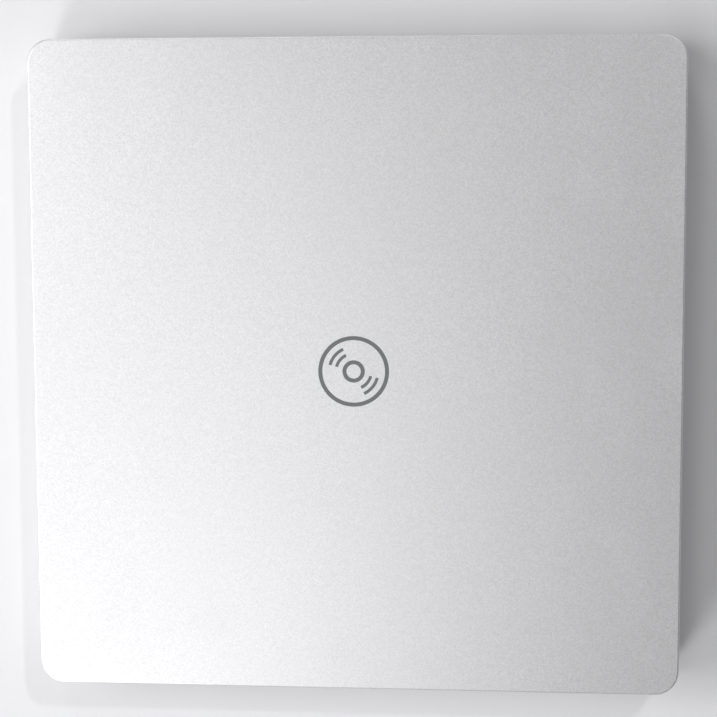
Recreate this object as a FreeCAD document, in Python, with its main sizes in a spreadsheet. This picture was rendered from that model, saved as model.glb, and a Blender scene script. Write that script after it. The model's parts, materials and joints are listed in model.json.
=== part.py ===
import FreeCAD, Part
import math
import os
import re

import Sketcher
from FreeCAD import Placement, Rotation, Vector

# External optical drive: a slim tray-loading disc drive inside a square two-shell case.
# Frame: +Z up, the tray opens towards -Y, the origin is under the centre of the case at table level.
# Every size below is in millimetres and drives the model; the tray is shut.

SIZES = [
    # both shells of the case
    ("case_width", 145.0, "outside, along X"),
    ("case_depth", 146.0, "outside, along Y"),
    ("case_height", 17.0, "table to top face"),
    ("corner_radius", 5.4, "corners of the outline"),
    ("parting_height", 8.4, "lower edge of the top cover's skirt"),
    ("parting_gap", 0.2, "shadow gap between the shells"),
    ("opening_width", 131.2, "front opening for the tray"),
    ("opening_low", 2.6, "sill of the front opening"),
    ("opening_high", 15.3, "head of the front opening"),
    ("play", 0.1, "small running or fitting clearance"),
    ("past", 1.0, "how far a cutter runs past the face it opens"),
    # top cover
    ("edge_round", 0.4, "rounding of the top edge"),
    ("plate_thickness", 1.4, "top plate"),
    ("skirt_thickness", 1.4, "side skirt"),
    ("rib_pitch", 36.0, "ribs under the plate's rear, spacing"),
    ("rib_sheet", 1.0, "ribs, thickness"),
    ("rib_depth", 1.4, "ribs, below the plate"),
    ("rib_gap", 2.0, "ribs, from the drive"),
    # bottom cover
    ("base_floor", 1.6, "floor"),
    ("base_wall", 2.4, "side wall"),
    ("base_round", 1.4, "rounding of the lower edge"),
    ("lip_height", 1.2, "locating lip inside the skirt"),
    ("pad_side", 9.0, "square pads under the drive"),
    ("pad_across", 44.0, "pads from the middle, along X"),
    ("pad_along", 45.0, "pads from the middle, along Y"),
    ("post_radius", 1.8, "posts of the case and of the tray"),
    ("label_width", 62.0, "shallow blank field underneath"),
    ("label_depth", 38.0, "blank field, along Y"),
    ("label_front", 12.0, "blank field, ahead of the middle"),
    ("label_sink", 0.25, "blank field, depth"),
    ("vent_length", 16.0, "vent slots, end to end"),
    ("vent_width", 1.6, "vent slots, width"),
    ("vent_pitch", 4.2, "vent slots, spacing"),
    ("vent_rear", 40.0, "vent slots, behind the middle"),
    ("vent_across", 24.0, "vent slots, from the middle"),
    # feet
    ("foot_rise", 0.8, "feet below the bottom cover"),
    ("foot_radius", 5.5, "rubber foot"),
    ("foot_recess", 0.8, "how far a foot is let in"),
    ("foot_round", 0.5, "lower edge of a foot"),
    ("foot_across", 58.0, "foot from the middle, along X"),
    ("foot_along", 60.0, "foot from the middle, along Y"),
    # screws
    ("boss_across", 67.7, "case screws from the middle, along X"),
    ("boss_front", 62.0, "front case screws, ahead of the middle"),
    ("boss_back", 66.0, "rear case screws, behind the middle"),
    ("boss_radius", 2.6, "boss of the bottom cover"),
    ("pillar_radius", 2.1, "boss of the top cover"),
    ("boss_top", 8.6, "where the two bosses meet"),
    ("screw_radius", 1.0, "case screws, shank"),
    ("screw_length", 10.0, "case screws, below the head"),
    ("head_radius", 1.9, "case screws, head"),
    ("head_height", 1.2, "case screws, head"),
    ("head_depth", 1.8, "counterbore of a case screw"),
    ("screw_spare", 0.4, "hole beyond the tip of a case screw"),
    ("small_shank", 0.8, "small screws, shank radius"),
    ("small_head", 1.6, "small screws, head radius"),
    ("cross_reach", 0.55, "arm of a cross recess, share of the head's radius"),
    ("cross_half", 0.25, "arm of a cross recess, half width"),
    ("cross_floor", 0.35, "left under a cross recess, share of the head's height"),
    # sheet-steel housing of the drive
    ("drive_width", 128.0, "drive body"),
    ("drive_depth", 126.8, "drive body without its bezel"),
    ("drive_setback", 4.6, "drive body behind the case front"),
    ("drive_low", 2.8, "underside of the drive body"),
    ("sheet_floor", 0.5, "steel floor and lid"),
    ("sheet_wall", 0.6, "steel side wall"),
    ("chassis_top", 14.5, "upper edge of the side walls"),
    ("floor_hole", 3.0, "access holes in the floor"),
    ("groove_across", 30.0, "stiffening grooves of the floor, from the middle"),
    ("groove_front", 55.0, "stiffening grooves, ahead of the middle"),
    ("groove_length", 34.0, "stiffening grooves, end to end"),
    ("groove_width", 3.0, "stiffening grooves, width"),
    ("plug_left", -35.0, "opening of the rear wall for the plug"),
    ("plug_right", 1.0, "opening of the rear wall"),
    ("plug_low", 5.0, "opening of the rear wall"),
    ("plug_high", 11.0, "opening of the rear wall"),
    ("lid_flange", 5.0, "flanges of the lid, depth"),
    ("tail_left", 8.0, "rear flange of the lid, left end"),
    ("tail_right", 60.0, "rear flange of the lid, right end"),
    ("ring_outer", 24.0, "pressed ring of the lid"),
    ("ring_inner", 22.0, "pressed ring of the lid"),
    ("flange_screw_z", 12.0, "screws through the lid's flanges"),
    ("flange_screw_y", 50.0, "spacing of those screws"),
    ("flange_cap", 0.5, "head height of those screws"),
    ("flange_shank", 1.2, "shank of those screws"),
    # runners of the tray
    ("channel_outer", 63.3, "guide channel, back"),
    ("channel_inner", 61.8, "guide channel, lips"),
    ("channel_low", 3.5, "guide channel, underside"),
    ("channel_high", 9.3, "guide channel, top"),
    ("channel_front", 1.4, "guide channel, from the drive's front"),
    ("channel_back", 0.8, "guide channel, from the rear wall"),
    ("web", 0.5, "thickness of channel and rail"),
    ("rail_outer", 62.7, "slide rail, back"),
    ("rail_inner", 61.1, "slide rail, lips"),
    ("rail_low", 4.1, "slide rail, underside"),
    ("rail_high", 8.7, "slide rail, top"),
    ("rail_front", -66.0, "slide rail, front end"),
    ("rail_back", 56.0, "slide rail, rear end"),
    ("rail_hole", 0.9, "holes along the slide rail"),
    ("rail_hole_first", 12.0, "first hole from the rail's front"),
    ("rail_hole_pitch", 24.0, "spacing of those holes"),
    # tray
    ("spindle_y", -7.2, "disc centre"),
    ("tray_half", 62.6, "deck, half width"),
    ("tray_front", -68.9, "front wall"),
    ("tray_back", 54.6, "rear wall"),
    ("tray_corner", 3.0, "rear corners of the deck"),
    ("tray_wall", 1.2, "front and rear walls under the deck"),
    ("deck_low", 9.6, "deck, underside"),
    ("deck_high", 13.2, "deck, top"),
    ("deck_round", 0.4, "deck, upper edge"),
    ("recess_radius", 60.6, "recess for a 120 mm disc"),
    ("recess_floor", 11.2, "floor of that recess"),
    ("small_radius", 40.6, "recess for an 80 mm disc"),
    ("small_floor", 10.85, "floor of that recess"),
    ("finger_radius", 9.0, "finger notches in the rim"),
    ("finger_place", 64.0, "finger notches from the disc centre"),
    ("belly_half", 60.9, "side walls under the deck, outside"),
    ("belly_wall", 0.9, "side walls under the deck, thickness"),
    ("belly_low", 4.3, "side walls under the deck, lower edge"),
    ("runner_half", 62.1, "runner ribs, outside"),
    ("runner_low", 4.8, "runner ribs, underside"),
    ("runner_high", 8.0, "runner ribs, top"),
    ("pilot_depth", 3.6, "pilot holes of the posts"),
    ("hanger_radius", 1.2, "pegs that the mechanism hangs on"),
    # steel shield under the tray
    ("shield_sheet", 0.4, "thickness"),
    ("shield_gap", 1.4, "from the tray's front and rear"),
    ("shield_vent", 2.2, "vent holes"),
    ("shield_vent_left", -46.0, "left row of vent holes"),
    ("shield_vent_right", 44.0, "right row of vent holes"),
    ("shield_vent_pitch", 20.0, "vent holes of a row"),
    ("shield_head", 1.5, "screws, head radius"),
    ("shield_cap", 0.35, "screws, head height"),
    ("shield_shank", 3.2, "screws, shank"),
    ("cable_hole_left", -34.0, "opening for the flat cable"),
    ("cable_hole_right", -10.0, "opening for the flat cable"),
    ("cable_hole_front", 42.0, "opening for the flat cable"),
    # bezel and its controls
    ("bezel_width", 130.4, "front bezel"),
    ("bezel_low", 2.9, "bezel, underside"),
    ("bezel_high", 15.0, "bezel, top"),
    ("bezel_recess", 0.3, "bezel behind the case front"),
    ("bezel_depth", 3.8, "bezel, front to back"),
    ("bezel_skin", 1.4, "bezel, moulded wall"),
    ("bezel_round", 0.5, "bezel, front edges"),
    ("bezel_post", 4.0, "posts behind the bezel, width"),
    ("bezel_post_inset", 0.4, "posts, inside the deck's height"),
    ("button_x", 38.0, "eject button, centre"),
    ("button_z", 9.0, "height of the controls"),
    ("button_width", 12.0, "eject button"),
    ("button_height", 3.6, "eject button"),
    ("button_round", 0.2, "eject button, front edge"),
    ("button_proud", 0.2, "eject button ahead of the bezel"),
    ("button_travel", 0.6, "press"),
    ("flange_width", 13.2, "retaining flange of the button"),
    ("flange_height", 4.6, "retaining flange"),
    ("flange_sheet", 0.6, "retaining flange"),
    ("lamp_x", 27.0, "indicator, centre"),
    ("lamp_width", 3.0, "indicator window"),
    ("lamp_height", 1.1, "indicator window"),
    ("stem_width", 4.0, "light pipe behind the window"),
    ("stem_height", 2.4, "light pipe"),
    ("stem_length", 0.8, "light pipe"),
    ("pinhole_x", 50.5, "emergency eject hole"),
    ("pinhole_radius", 0.6, "emergency eject hole"),
    ("controls_left", 24.0, "gap of the tray's front wall"),
    ("controls_right", 52.0, "gap of the tray's front wall"),
    # switch board; its depths are from the tray's front
    ("switch_left", 24.5, "board, left end"),
    ("switch_right", 47.0, "board, right end"),
    ("switch_near", 1.4, "board, front edge"),
    ("switch_far", 7.0, "board, rear edge"),
    ("switch_top", 9.0, "board, top"),
    ("switch_sheet", 0.8, "board, thickness"),
    ("switch_half", 1.8, "switch, half width"),
    ("switch_face", 0.6, "switch, front"),
    ("switch_rear", 3.0, "switch, rear"),
    ("switch_tall", 2.2, "switch, below the board"),
    ("switch_pin", 0.6, "switch, radius of its plunger"),
    ("diode_half", 0.8, "lamp, half width"),
    ("diode_tall", 0.8, "lamp, below the board"),
    ("diode_near", 0.2, "lamp, front"),
    ("diode_far", 1.8, "lamp, rear"),
    # controller board under the rear of the deck
    ("logic_half", 56.0, "half width"),
    ("logic_front", 31.0, "front edge"),
    ("logic_back", 52.8, "rear edge"),
    ("logic_gap", 0.4, "below the deck"),
    ("logic_sheet", 0.8, "thickness"),
    ("logic_hole", 2.0, "holes for the tray's posts"),
    ("header_left", -30.0, "cable header, left end"),
    ("header_right", -12.0, "cable header, right end"),
    ("header_front", 48.4, "cable header, front"),
    ("header_back", 52.4, "cable header, rear"),
    ("header_tall", 2.0, "cable header, below the board"),
    # latch
    ("stud_x", 56.6, "stud on the chassis"),
    ("stud_y", -60.0, "stud on the chassis"),
    ("stud_radius", 1.0, "stud"),
    ("stud_top", 6.2, "stud"),
    ("rivet_radius", 0.7, "riveted end of the stud"),
    ("stud_way", 3.6, "way for the stud through the tray's rear wall"),
    ("stud_way_top", 6.6, "top of that way"),
    ("pivot_x", 52.0, "lever's pivot on the tray"),
    ("pivot_y", -46.0, "lever's pivot on the tray"),
    ("pivot_radius", 1.0, "pivot peg"),
    ("pivot_foot", 5.1, "lower end of the pivot peg"),
    ("lever_low", 5.2, "lever, underside"),
    ("lever_sheet", 0.8, "lever, thickness"),
    ("lever_hub", 2.4, "lever, radius of its hub"),
    ("lever_hub_height", 1.8, "lever, height of its hub"),
    ("lever_half", 1.2, "lever, half width at the hub"),
    ("lever_tip", 0.6, "lever, left edge at the tip"),
    ("lever_reach", 13.0, "lever, hub to the tip"),
    ("hook_start", 11.6, "lever, hub to the hook"),
    ("hook_neck", 1.0, "lever, right edge beside the hook"),
    ("hook_end", 2.3, "lever, end of the hook"),
    ("coil_left", 37.0, "solenoid, left end"),
    ("coil_right", 47.0, "solenoid, right end"),
    ("coil_front", -57.0, "solenoid, front"),
    ("coil_back", -50.5, "solenoid, rear"),
    ("core_y", -53.7, "core of the solenoid"),
    ("core_z", 7.0, "core of the solenoid"),
    ("core_radius", 0.9, "core of the solenoid"),
    ("core_length", 2.4, "core of the solenoid"),
    # ejector
    ("ejector_x", 48.0, "axis of the plunger"),
    ("ejector_z", 6.6, "axis of the plunger"),
    ("ejector_way", 4.0, "way for it through the tray's rear wall"),
    ("ejector_way_top", 8.6, "top of that way"),
    ("plunger_radius", 0.95, "plunger"),
    ("plunger_front", 30.5, "plunger, front end"),
    ("collar_front", 37.5, "collar of the plunger, front"),
    ("collar_radius", 1.4, "collar"),
    ("collar_length", 0.8, "collar"),
    ("spring_front", 33.0, "spring, front end"),
    ("spring_radius", 1.22, "spring, to the middle of its wire"),
    ("spring_pitch", 0.6, "spring, one turn"),
    ("spring_length", 4.2, "spring, shut"),
    ("wire_radius", 0.16, "wire of the spring"),
    ("bracket_half", 3.0, "bracket, half width of its bridge"),
    ("bracket_cheek", 2.6, "bracket, half width of its walls"),
    ("bracket_wall", 1.2, "bracket, thickness of its walls"),
    ("bracket_sheet", 0.3, "bracket, thickness of its bridge"),
    ("bracket_front", 31.5, "bracket, front"),
    ("bracket_back", 52.4, "bracket, rear"),
    ("bracket_foot", 5.0, "bracket, lower edge"),
    # disc mechanism: u runs along the pickup's travel, v across it, both from the spindle
    ("plate_near", -21.0, "mechanism cover, inner end"),
    ("plate_far", 55.6, "mechanism cover, outer end"),
    ("plate_half", 21.0, "mechanism cover, half width"),
    ("plate_low", 10.45, "mechanism cover, underside"),
    ("plate_sheet", 0.4, "mechanism cover, thickness"),
    ("plate_corner", 3.0, "mechanism cover, corners"),
    ("plate_slot_near", 8.0, "lens slot of the cover, inner end"),
    ("plate_slot_half", 10.6, "lens slot of the cover, half width"),
    ("plate_head", 1.7, "screws of the cover, head radius"),
    ("plate_cap", 0.3, "screws of the cover, head height"),
    ("hub_hole", 16.0, "hole round the turntable"),
    ("window_near", -18.0, "window of the tray, inner end"),
    ("window_far", 53.0, "window of the tray, outer end"),
    ("window_half", 18.0, "window of the tray, half width"),
    ("slot_near", 10.0, "lens slot of the tray, inner end"),
    ("slot_far", 63.8, "lens slot of the tray, outer end"),
    ("slot_half", 11.4, "lens slot of the tray, half width"),
    # traverse frame and its dampers
    ("frame_low", 5.0, "frame, underside"),
    ("frame_sheet", 0.8, "frame, thickness"),
    ("bay_near", 14.6, "opening for the pickup, inner end"),
    ("bay_far", 66.8, "opening for the pickup, outer end"),
    ("bay_gap", 0.5, "opening beside the pickup"),
    ("bay_cans", 1.8, "opening beside the laser cans"),
    ("spindle_bay", 9.4, "opening under the spindle"),
    ("motor_bay_half", 2.5, "opening round the sled motor, half width"),
    ("support_top", 8.9, "blocks that hold the rods, top"),
    ("support_half", 1.6, "blocks, half width"),
    ("support_near", 11.0, "inner blocks, inner face"),
    ("support_inner", 2.8, "inner blocks, length"),
    ("support_outer", 2.0, "outer blocks, length"),
    ("main_far", 64.4, "outer block of the main rod"),
    ("side_far", 63.6, "outer block of the second rod"),
    ("journal_near", 4.6, "block of the lead screw, inner face"),
    ("journal_far", 7.0, "block of the lead screw, outer face"),
    ("journal_half", 1.8, "block of the lead screw, half width"),
    ("ear_radius", 3.6, "ears for the grommets"),
    ("ear_hole", 2.2, "holes for the grommets"),
    ("grommet_radius", 3.2, "grommet, flange"),
    ("grommet_flange", 0.4, "grommet, thickness of its flange"),
    ("grommet_bore", 1.3, "grommet, bore"),
    ("damper_head", 2.1, "screw of a grommet, head radius"),
    ("damper_cap", 0.2, "screw of a grommet, head height"),
    # guide rods, lead screw and its motor
    ("rod_height", 7.4, "guide rods, axis"),
    ("rod_radius", 1.0, "guide rods"),
    ("main_rod_v", -16.0, "main rod across the travel"),
    ("side_rod_v", 17.0, "second rod across the travel"),
    ("screw_v", -20.5, "lead screw across the travel"),
    ("screw_height", 7.2, "lead screw, axis"),
    ("thread_near", 7.2, "lead screw, start of its thread"),
    ("thread_radius", 1.2, "lead screw"),
    ("thread_lead", 3.0, "lead screw, travel per turn"),
    ("groove_middle", 0.1, "middle of the groove's diamond, outside the thread"),
    ("groove_bite", 0.6, "middle of the diamond to its corners"),
    ("journal_bore", 0.85, "bearings of the lead screw"),
    ("journal_start", 4.8, "lead screw, start of its thin end"),
    ("journal_depth", 1.5, "lead screw, thin end inside the motor"),
    ("motor_near", 50.0, "sled motor, inner end"),
    ("motor_length", 9.0, "sled motor"),
    ("motor_radius", 2.3, "sled motor"),
    ("motor_gap", 0.2, "free room at the motor's ends"),
    ("motor_bore", 2.0, "depth of the motor's bore"),
    ("tail_radius", 0.9, "rear bearing of the motor"),
    ("tail_length", 0.8, "rear bearing of the motor"),
    ("terminal_near", 4.5, "terminal block from the motor's inner end"),
    ("terminal_far", 8.5, "terminal block, outer face"),
    ("terminal_half", 1.6, "terminal block, half width"),
    # spindle motor and turntable
    ("base_radius", 13.6, "plate under the motor"),
    ("base_sheet", 0.4, "plate under the motor"),
    ("base_hole_circle", 12.6, "holes of that plate, from its middle"),
    ("base_hole", 0.7, "holes of that plate"),
    ("bush_radius", 2.6, "bearing"),
    ("bush_height", 3.8, "bearing"),
    ("bush_bore", 1.3, "bearing"),
    ("bush_floor", 0.4, "bearing, closed end"),
    ("bush_flange", 3.2, "bearing, flange radius"),
    ("bush_flange_sheet", 0.3, "bearing, flange"),
    ("stator_radius", 10.8, "wound core"),
    ("stator_bore", 3.3, "wound core"),
    ("stator_height", 1.6, "wound core"),
    ("stator_gap", 0.8, "wound core above the frame"),
    ("stator_slot_circle", 8.6, "winding slots from the middle"),
    ("stator_slot", 1.5, "winding slots"),
    ("stator_mouth_circle", 10.6, "mouths of the slots from the middle"),
    ("stator_mouth", 0.6, "mouths of the slots"),
    ("rotor_radius", 12.3, "motor can"),
    ("rotor_sheet", 0.7, "motor can, wall"),
    ("rotor_roof", 0.5, "motor can, top"),
    ("rotor_height", 3.6, "motor can"),
    ("rotor_gap", 0.7, "motor can above the frame"),
    ("shaft_radius", 1.25, "spindle shaft"),
    ("shaft_inset", 0.6, "shaft inside the frame's underside and the hub's top"),
    ("neck_radius", 6.0, "turntable under the disc"),
    ("table_radius", 14.7, "turntable"),
    ("table_sheet", 0.7, "turntable"),
    ("pad_sheet", 0.4, "rubber ring on the turntable"),
    ("pad_inner", 10.8, "rubber ring, inside"),
    ("disc_height", 12.0, "where the disc sits"),
    ("hub_radius", 7.4, "centring hub, for a 15 mm hole"),
    ("hub_top", 14.0, "centring hub"),
    ("hub_round", 0.8, "centring hub, upper edge"),
    ("claw_back", 4.2, "claw, inner end"),
    ("claw_half", 1.4, "claw, half width"),
    ("claw_low", 0.8, "claw above the disc's seat"),
    ("claw_roof", 0.5, "claw below the hub's top"),
    ("claw_lip", 0.3, "lip of a claw, outside the hub"),
    ("claw_lip_half", 1.1, "lip of a claw, half width"),
    ("claw_lip_low", 1.25, "lip of a claw above the disc's seat"),
    ("claw_way_back", 3.4, "way of a claw, inner end"),
    ("claw_way_gap", 0.2, "way of a claw, beside, under and over it"),
    # pickup: lengths along the travel are from the lens at the lead-in
    ("lens_near", 23.0, "lens from the spindle"),
    ("sled_near", -8.2, "body, inner end"),
    ("sled_far", 8.4, "body, outer end"),
    ("sled_half", 13.2, "body, half width"),
    ("sled_top", 9.0, "body, top"),
    ("mount_near", -6.0, "raised middle, inner end"),
    ("mount_far", 4.5, "raised middle, outer end"),
    ("mount_half", 9.0, "raised middle, half width"),
    ("mount_rise", 1.3, "raised middle above the body"),
    ("bearing_near", -9.0, "bearing on the main rod, inner end"),
    ("bearing_far", 6.0, "bearing on the main rod, outer end"),
    ("bearing_wall", 1.8, "bearing beyond the rod's axis"),
    ("fork_half", 2.0, "fork on the second rod, half length"),
    ("fork_wall", 1.4, "fork beyond the rod's axis"),
    ("well_near", -4.4, "well of the lens, inner end"),
    ("well_far", 3.6, "well of the lens, outer end"),
    ("well_half", 7.4, "well of the lens, half width"),
    ("well_floor", 8.3, "well of the lens, floor"),
    ("beam_radius", 1.8, "light path under the lens"),
    ("beam_low", 6.2, "light path, lower end"),
    ("laser_across", 5.2, "laser cans from the lens, along the travel"),
    ("laser_radius", 1.6, "laser can"),
    ("laser_length", 3.0, "laser can"),
    ("laser_seat", 1.6, "laser can inside the body"),
    ("laser_height", 7.0, "laser can, axis"),
    ("hood_sheet", 0.25, "sheet over the body"),
    ("hood_gap", 0.2, "sheet inside the body's edge and off the middle"),
    ("magnet_across", 5.6, "magnets from the lens"),
    ("magnet_half", 0.7, "magnets, half thickness"),
    ("magnet_reach", 2.8, "magnets, half length"),
    ("magnet_top", 10.1, "magnets, top"),
    ("nut_near", -14.5, "nut, inner end"),
    ("nut_far", -9.5, "nut, outer end"),
    ("nut_join", -8.4, "arm of the nut, at the body"),
    ("nut_wall", 1.4, "arm of the nut"),
    ("nut_half", 1.8, "nut beyond the screw's axis"),
    ("nut_low", 6.0, "nut, underside"),
    ("nut_high", 8.8, "nut, top"),
    ("holder_reach", 3.2, "lens holder, half length"),
    ("holder_half", 4.2, "lens holder, half width"),
    ("holder_low", 8.9, "lens holder, underside"),
    ("holder_high", 10.8, "lens holder, top"),
    ("eye_radius", 2.0, "seat of the lens"),
    ("eye_floor", 10.2, "seat of the lens"),
    ("eye_bore", 1.6, "bore under the lens"),
    ("glass_sheet", 0.5, "lens, edge"),
    ("dome_radius", 3.0, "lens, curvature"),
    ("dome_top", 11.1, "lens, top"),
    ("dome_edge", 1.6, "lens, curved part"),
    # bridge board behind the drive
    ("board_low", 3.2, "underside"),
    ("board_sheet", 1.0, "thickness"),
    ("board_left", -50.0, "left end"),
    ("board_right", 59.0, "right end"),
    ("board_gap", 1.8, "from the drive"),
    ("board_post_y", 66.0, "its posts on the case floor"),
    ("board_cap", 0.7, "its screws, head height"),
    ("port_x", 44.0, "port, centre"),
    ("port_width", 8.94, "port, outside"),
    ("port_height", 3.26, "port, outside"),
    ("port_length", 7.3, "port, front to back"),
    ("port_sheet", 0.3, "port, wall"),
    ("port_margin", 0.3, "cut-out round the port"),
    ("port_set", 0.6, "port behind the case's rear"),
    ("tongue_half", 3.35, "tongue of the port, half width"),
    ("tongue_sheet", 0.7, "tongue of the port, thickness"),
    ("tongue_set", 1.0, "tongue behind the port's mouth"),
    ("socket_left", -36.0, "drive socket, left end"),
    ("socket_right", 2.0, "drive socket, right end"),
    ("socket_gap", 1.2, "drive socket behind the drive"),
    ("socket_length", 6.0, "drive socket, front to back"),
    ("socket_top", 11.4, "drive socket, top"),
    ("cavity_wall", 2.6, "cavity of the socket, from its ends"),
    ("cavity_low", 5.6, "cavity, lower face"),
    ("cavity_high", 10.4, "cavity, upper face"),
    ("cavity_depth", 3.0, "cavity, depth"),
    # plug and upright board inside the drive's rear
    ("blade_gap", 0.4, "plug inside the cavity, all round"),
    ("key_left", -20.0, "key notch of the plug, left face"),
    ("key_right", -18.0, "key notch of the plug, right face"),
    ("key_top", 8.0, "key notch of the plug, top"),
    ("key_front", 0.6, "key notch of the plug, ahead of the socket"),
    ("upright_left", -40.0, "upright board, left end"),
    ("upright_right", 20.0, "upright board, right end"),
    ("upright_top", 12.0, "upright board, top"),
    ("upright_gap", 0.6, "upright board from the rear wall"),
    ("upright_sheet", 0.8, "upright board, thickness"),
    ("inlet_left", -30.0, "cable header of that board, left end"),
    ("inlet_right", -10.0, "cable header, right end"),
    ("inlet_depth", 1.2, "cable header, front to back"),
    ("inlet_top", 5.4, "cable header, top"),
    # flat cable
    ("cable_left", -28.0, "left edge"),
    ("cable_right", -12.0, "right edge"),
    ("cable_sheet", 0.2, "thickness"),
    ("cable_bend", 0.4, "outside radius of its fold"),
    ("cable_fold", -17.0, "where it folds"),
    ("cable_back", 55.2, "rear end of its lower leg"),
    ("cable_rise", 50.2, "rear end of its upper leg"),
]

doc = FreeCAD.newDocument("external_optical_drive")
sheet = doc.addObject("Spreadsheet::Sheet", "Sizes")
for row, (alias, millimetres, meaning) in enumerate(SIZES, start=1):
    sheet.set(f"A{row}", alias)
    sheet.set(f"B{row}", str(millimetres))
    sheet.set(f"C{row}", meaning)
    sheet.setAlias(f"B{row}", alias)
doc.recompute()
ALIASES = {alias for alias, _, _ in SIZES}
TOUCH = 1e-4  # two faces or edges this close, in millimetres, lie in one plane

# Places that several pieces share, as formulas of the sheet's aliases.
SIDE = "(case_width / 2)"
FRONT = "(-case_depth / 2)"
BACK = "(case_depth / 2)"
THROUGH = ("0", "case_height")
FLOOR = "(foot_rise + base_floor)"
SCREW_SEAT = "(foot_rise + head_depth)"
PLATE_UNDER = "(case_height - plate_thickness)"
SPLIT = "(parting_height - parting_gap)"
LIP_TOP = f"({SPLIT} + lip_height)"
DRIVE_SIDE = "(drive_width / 2)"
DRIVE_FRONT = f"({FRONT} + drive_setback)"
DRIVE_BACK = f"({DRIVE_FRONT} + drive_depth)"
DRIVE_INSIDE = f"({DRIVE_BACK} - sheet_wall)"
CHASSIS_FLOOR = "(drive_low + sheet_floor)"
LID_LOW = "(chassis_top + play)"
LID_TOP = f"({LID_LOW} + sheet_floor)"
LID_SIDE = f"({DRIVE_SIDE} + play + sheet_floor)"
BEZEL_FRONT = f"({FRONT} + bezel_recess)"
BEZEL_BACK = f"({BEZEL_FRONT} + bezel_depth)"
FLANGE_FRONT = f"({BEZEL_FRONT} + bezel_skin + play)"
SHIELD_TOP = "(belly_low + shield_sheet)"
LOGIC_LOW = "(deck_low - logic_gap - logic_sheet)"
HEADER_LOW = f"({LOGIC_LOW} - header_tall)"
FRAME_TOP = "(frame_low + frame_sheet)"
ROTOR_TOP = f"({FRAME_TOP} + rotor_gap + rotor_height)"
PAD_LOW = "(disc_height - pad_sheet)"
BOARD_TOP = "(board_low + board_sheet)"
PORT_MOUTH = f"({BACK} - port_set)"
PORT_CENTRE = f"({BOARD_TOP} + port_height / 2)"
SOCKET_FACE = f"({DRIVE_BACK} + socket_gap)"
STUD = ("stud_x", "stud_y")
PIVOT = ("pivot_x", "pivot_y")
BOSSES = [(f"{side} * boss_across", y) for side in (1, -1) for y in ("-boss_front", "boss_back")]
FEET = [(f"{a} * foot_across", f"{b} * foot_along") for a in (1, -1) for b in (1, -1)]
PADS = [(f"{a} * pad_across", f"{b} * pad_along") for a in (1, -1) for b in (1, -1)]

# Places chosen by hand, in millimetres.
BOARD_POSTS = (-46, 18, 56)
BEZEL_POSTS = (-56, -20, 8, 60)
FLOOR_HOLES = [(-40, 30), (40, 30), (-40, -40), (0, -40), (0, 30)]
FRONT_POSTS = [(-57, -64), (16, -64)]
BOARD_CORNERS = [(-57, 50), (41, 50), (-8, 50)]
TRAY_POSTS = FRONT_POSTS + BOARD_CORNERS
FINGER_ANGLES = (45, 135, 315)
# Chips: centre x, centre y, width, depth, height.
TRAY_CHIPS = [
    (2, 38, 14, 12, 1.2),
    (24, 38, 9, 9, 1.0),
    (-18, 38, 10, 8, 1.1),
    (-38, 38, 7, 5, 0.9),
    (-46, 45, 4, 4, 0.8),
    (30, 48, 5, 3, 0.8),
]
BRIDGE_CHIPS = [(12, 65.4, 7, 7, 1.0), (27, 65.4, 5, 4, 0.9), (-38, 64.6, 4, 3, 1.2), (33, 66, 2, 3.2, 1.0)]
# The mechanism lies askew in the tray; these places are u and v in its own frame.
TRAVEL_ANGLE = -135.0
DAMPERS = [(-14, 23.2), (-10, -26.8), (54, 23)]
COVER_SCREWS = [(-18.6, -18.9), (-18.6, 18.9), (50, -19.4), (50, 19.4)]
FRAME_CORNERS = [
    (-20, -20),
    (-15, -24.6),
    (59, -24.6),
    (69.6, -14),
    (69.6, 14),
    (62.6, 21),
    (-15, 21),
    (-20, 16),
]
CLAW_ANGLES = (0.0, 120.0, 240.0)
nodes = []


def with_sheet(formula):
    """The formula with each alias written the way an expression needs it."""

    def named(match):
        word = match.group()
        return f"Sizes.{word}" if word in ALIASES else word

    return re.sub(r"[a-z_]{3,}", named, str(formula))


def value(formula):
    """What a formula of the sheet's aliases comes to, in millimetres."""
    return float(sheet.evalExpression(with_sheet(formula)))


def bind(thing, prop, formula):
    thing.setExpression(prop, with_sheet(formula))


def node(name, thing):
    """Names a finished sub-part; its label is its file's name."""
    thing.Label = name
    nodes.append(thing)
    return thing


# ---- extents and places, as formulas


def about(middle, half):
    """An extent on both sides of a middle."""
    return f"({middle}) - ({half})", f"({middle}) + ({half})"


def both(side, near, far):
    """An extent along X for the right (1) or left (-1) side."""
    return (near, far) if side > 0 else (f"-({far})", f"-({near})")


def from_lens(near, far):
    """An extent along the travel measured from the lens at the lead-in."""
    return f"lens_near + ({near})", f"lens_near + ({far})"


def at_angle(radius, degrees):
    """A place on a circle about the origin."""
    angle = math.radians(degrees)
    return f"({radius}) * {math.cos(angle):.6f}", f"({radius}) * {math.sin(angle):.6f}"


def around(radius, count, start=0.0):
    """Evenly spaced places on a circle about the origin."""
    return [at_angle(radius, start + 360.0 * n / count) for n in range(count)]


# ---- edges to round


def upright(edge):
    """A straight edge along Z."""
    return edge.Curve.TypeId == "Part::GeomLine" and abs(edge.Curve.Direction.z) > 1 - TOUCH


def upright_at(depth):
    """Picks the edges along Z that stand at one depth."""
    level = value(depth)
    return lambda e: upright(e) and abs(e.Vertexes[0].Y - level) < TOUCH


def at_depth(depth):
    """Picks the edges that lie at one depth."""
    level = value(depth)
    return lambda e: abs(e.BoundBox.YMin - level) < TOUCH and abs(e.BoundBox.YMax - level) < TOUCH


def at_height(height):
    """Picks the edges that lie at one height."""
    level = value(height)
    return lambda e: abs(e.BoundBox.ZMin - level) < TOUCH and abs(e.BoundBox.ZMax - level) < TOUCH


# ---- Part primitives and booleans


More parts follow.
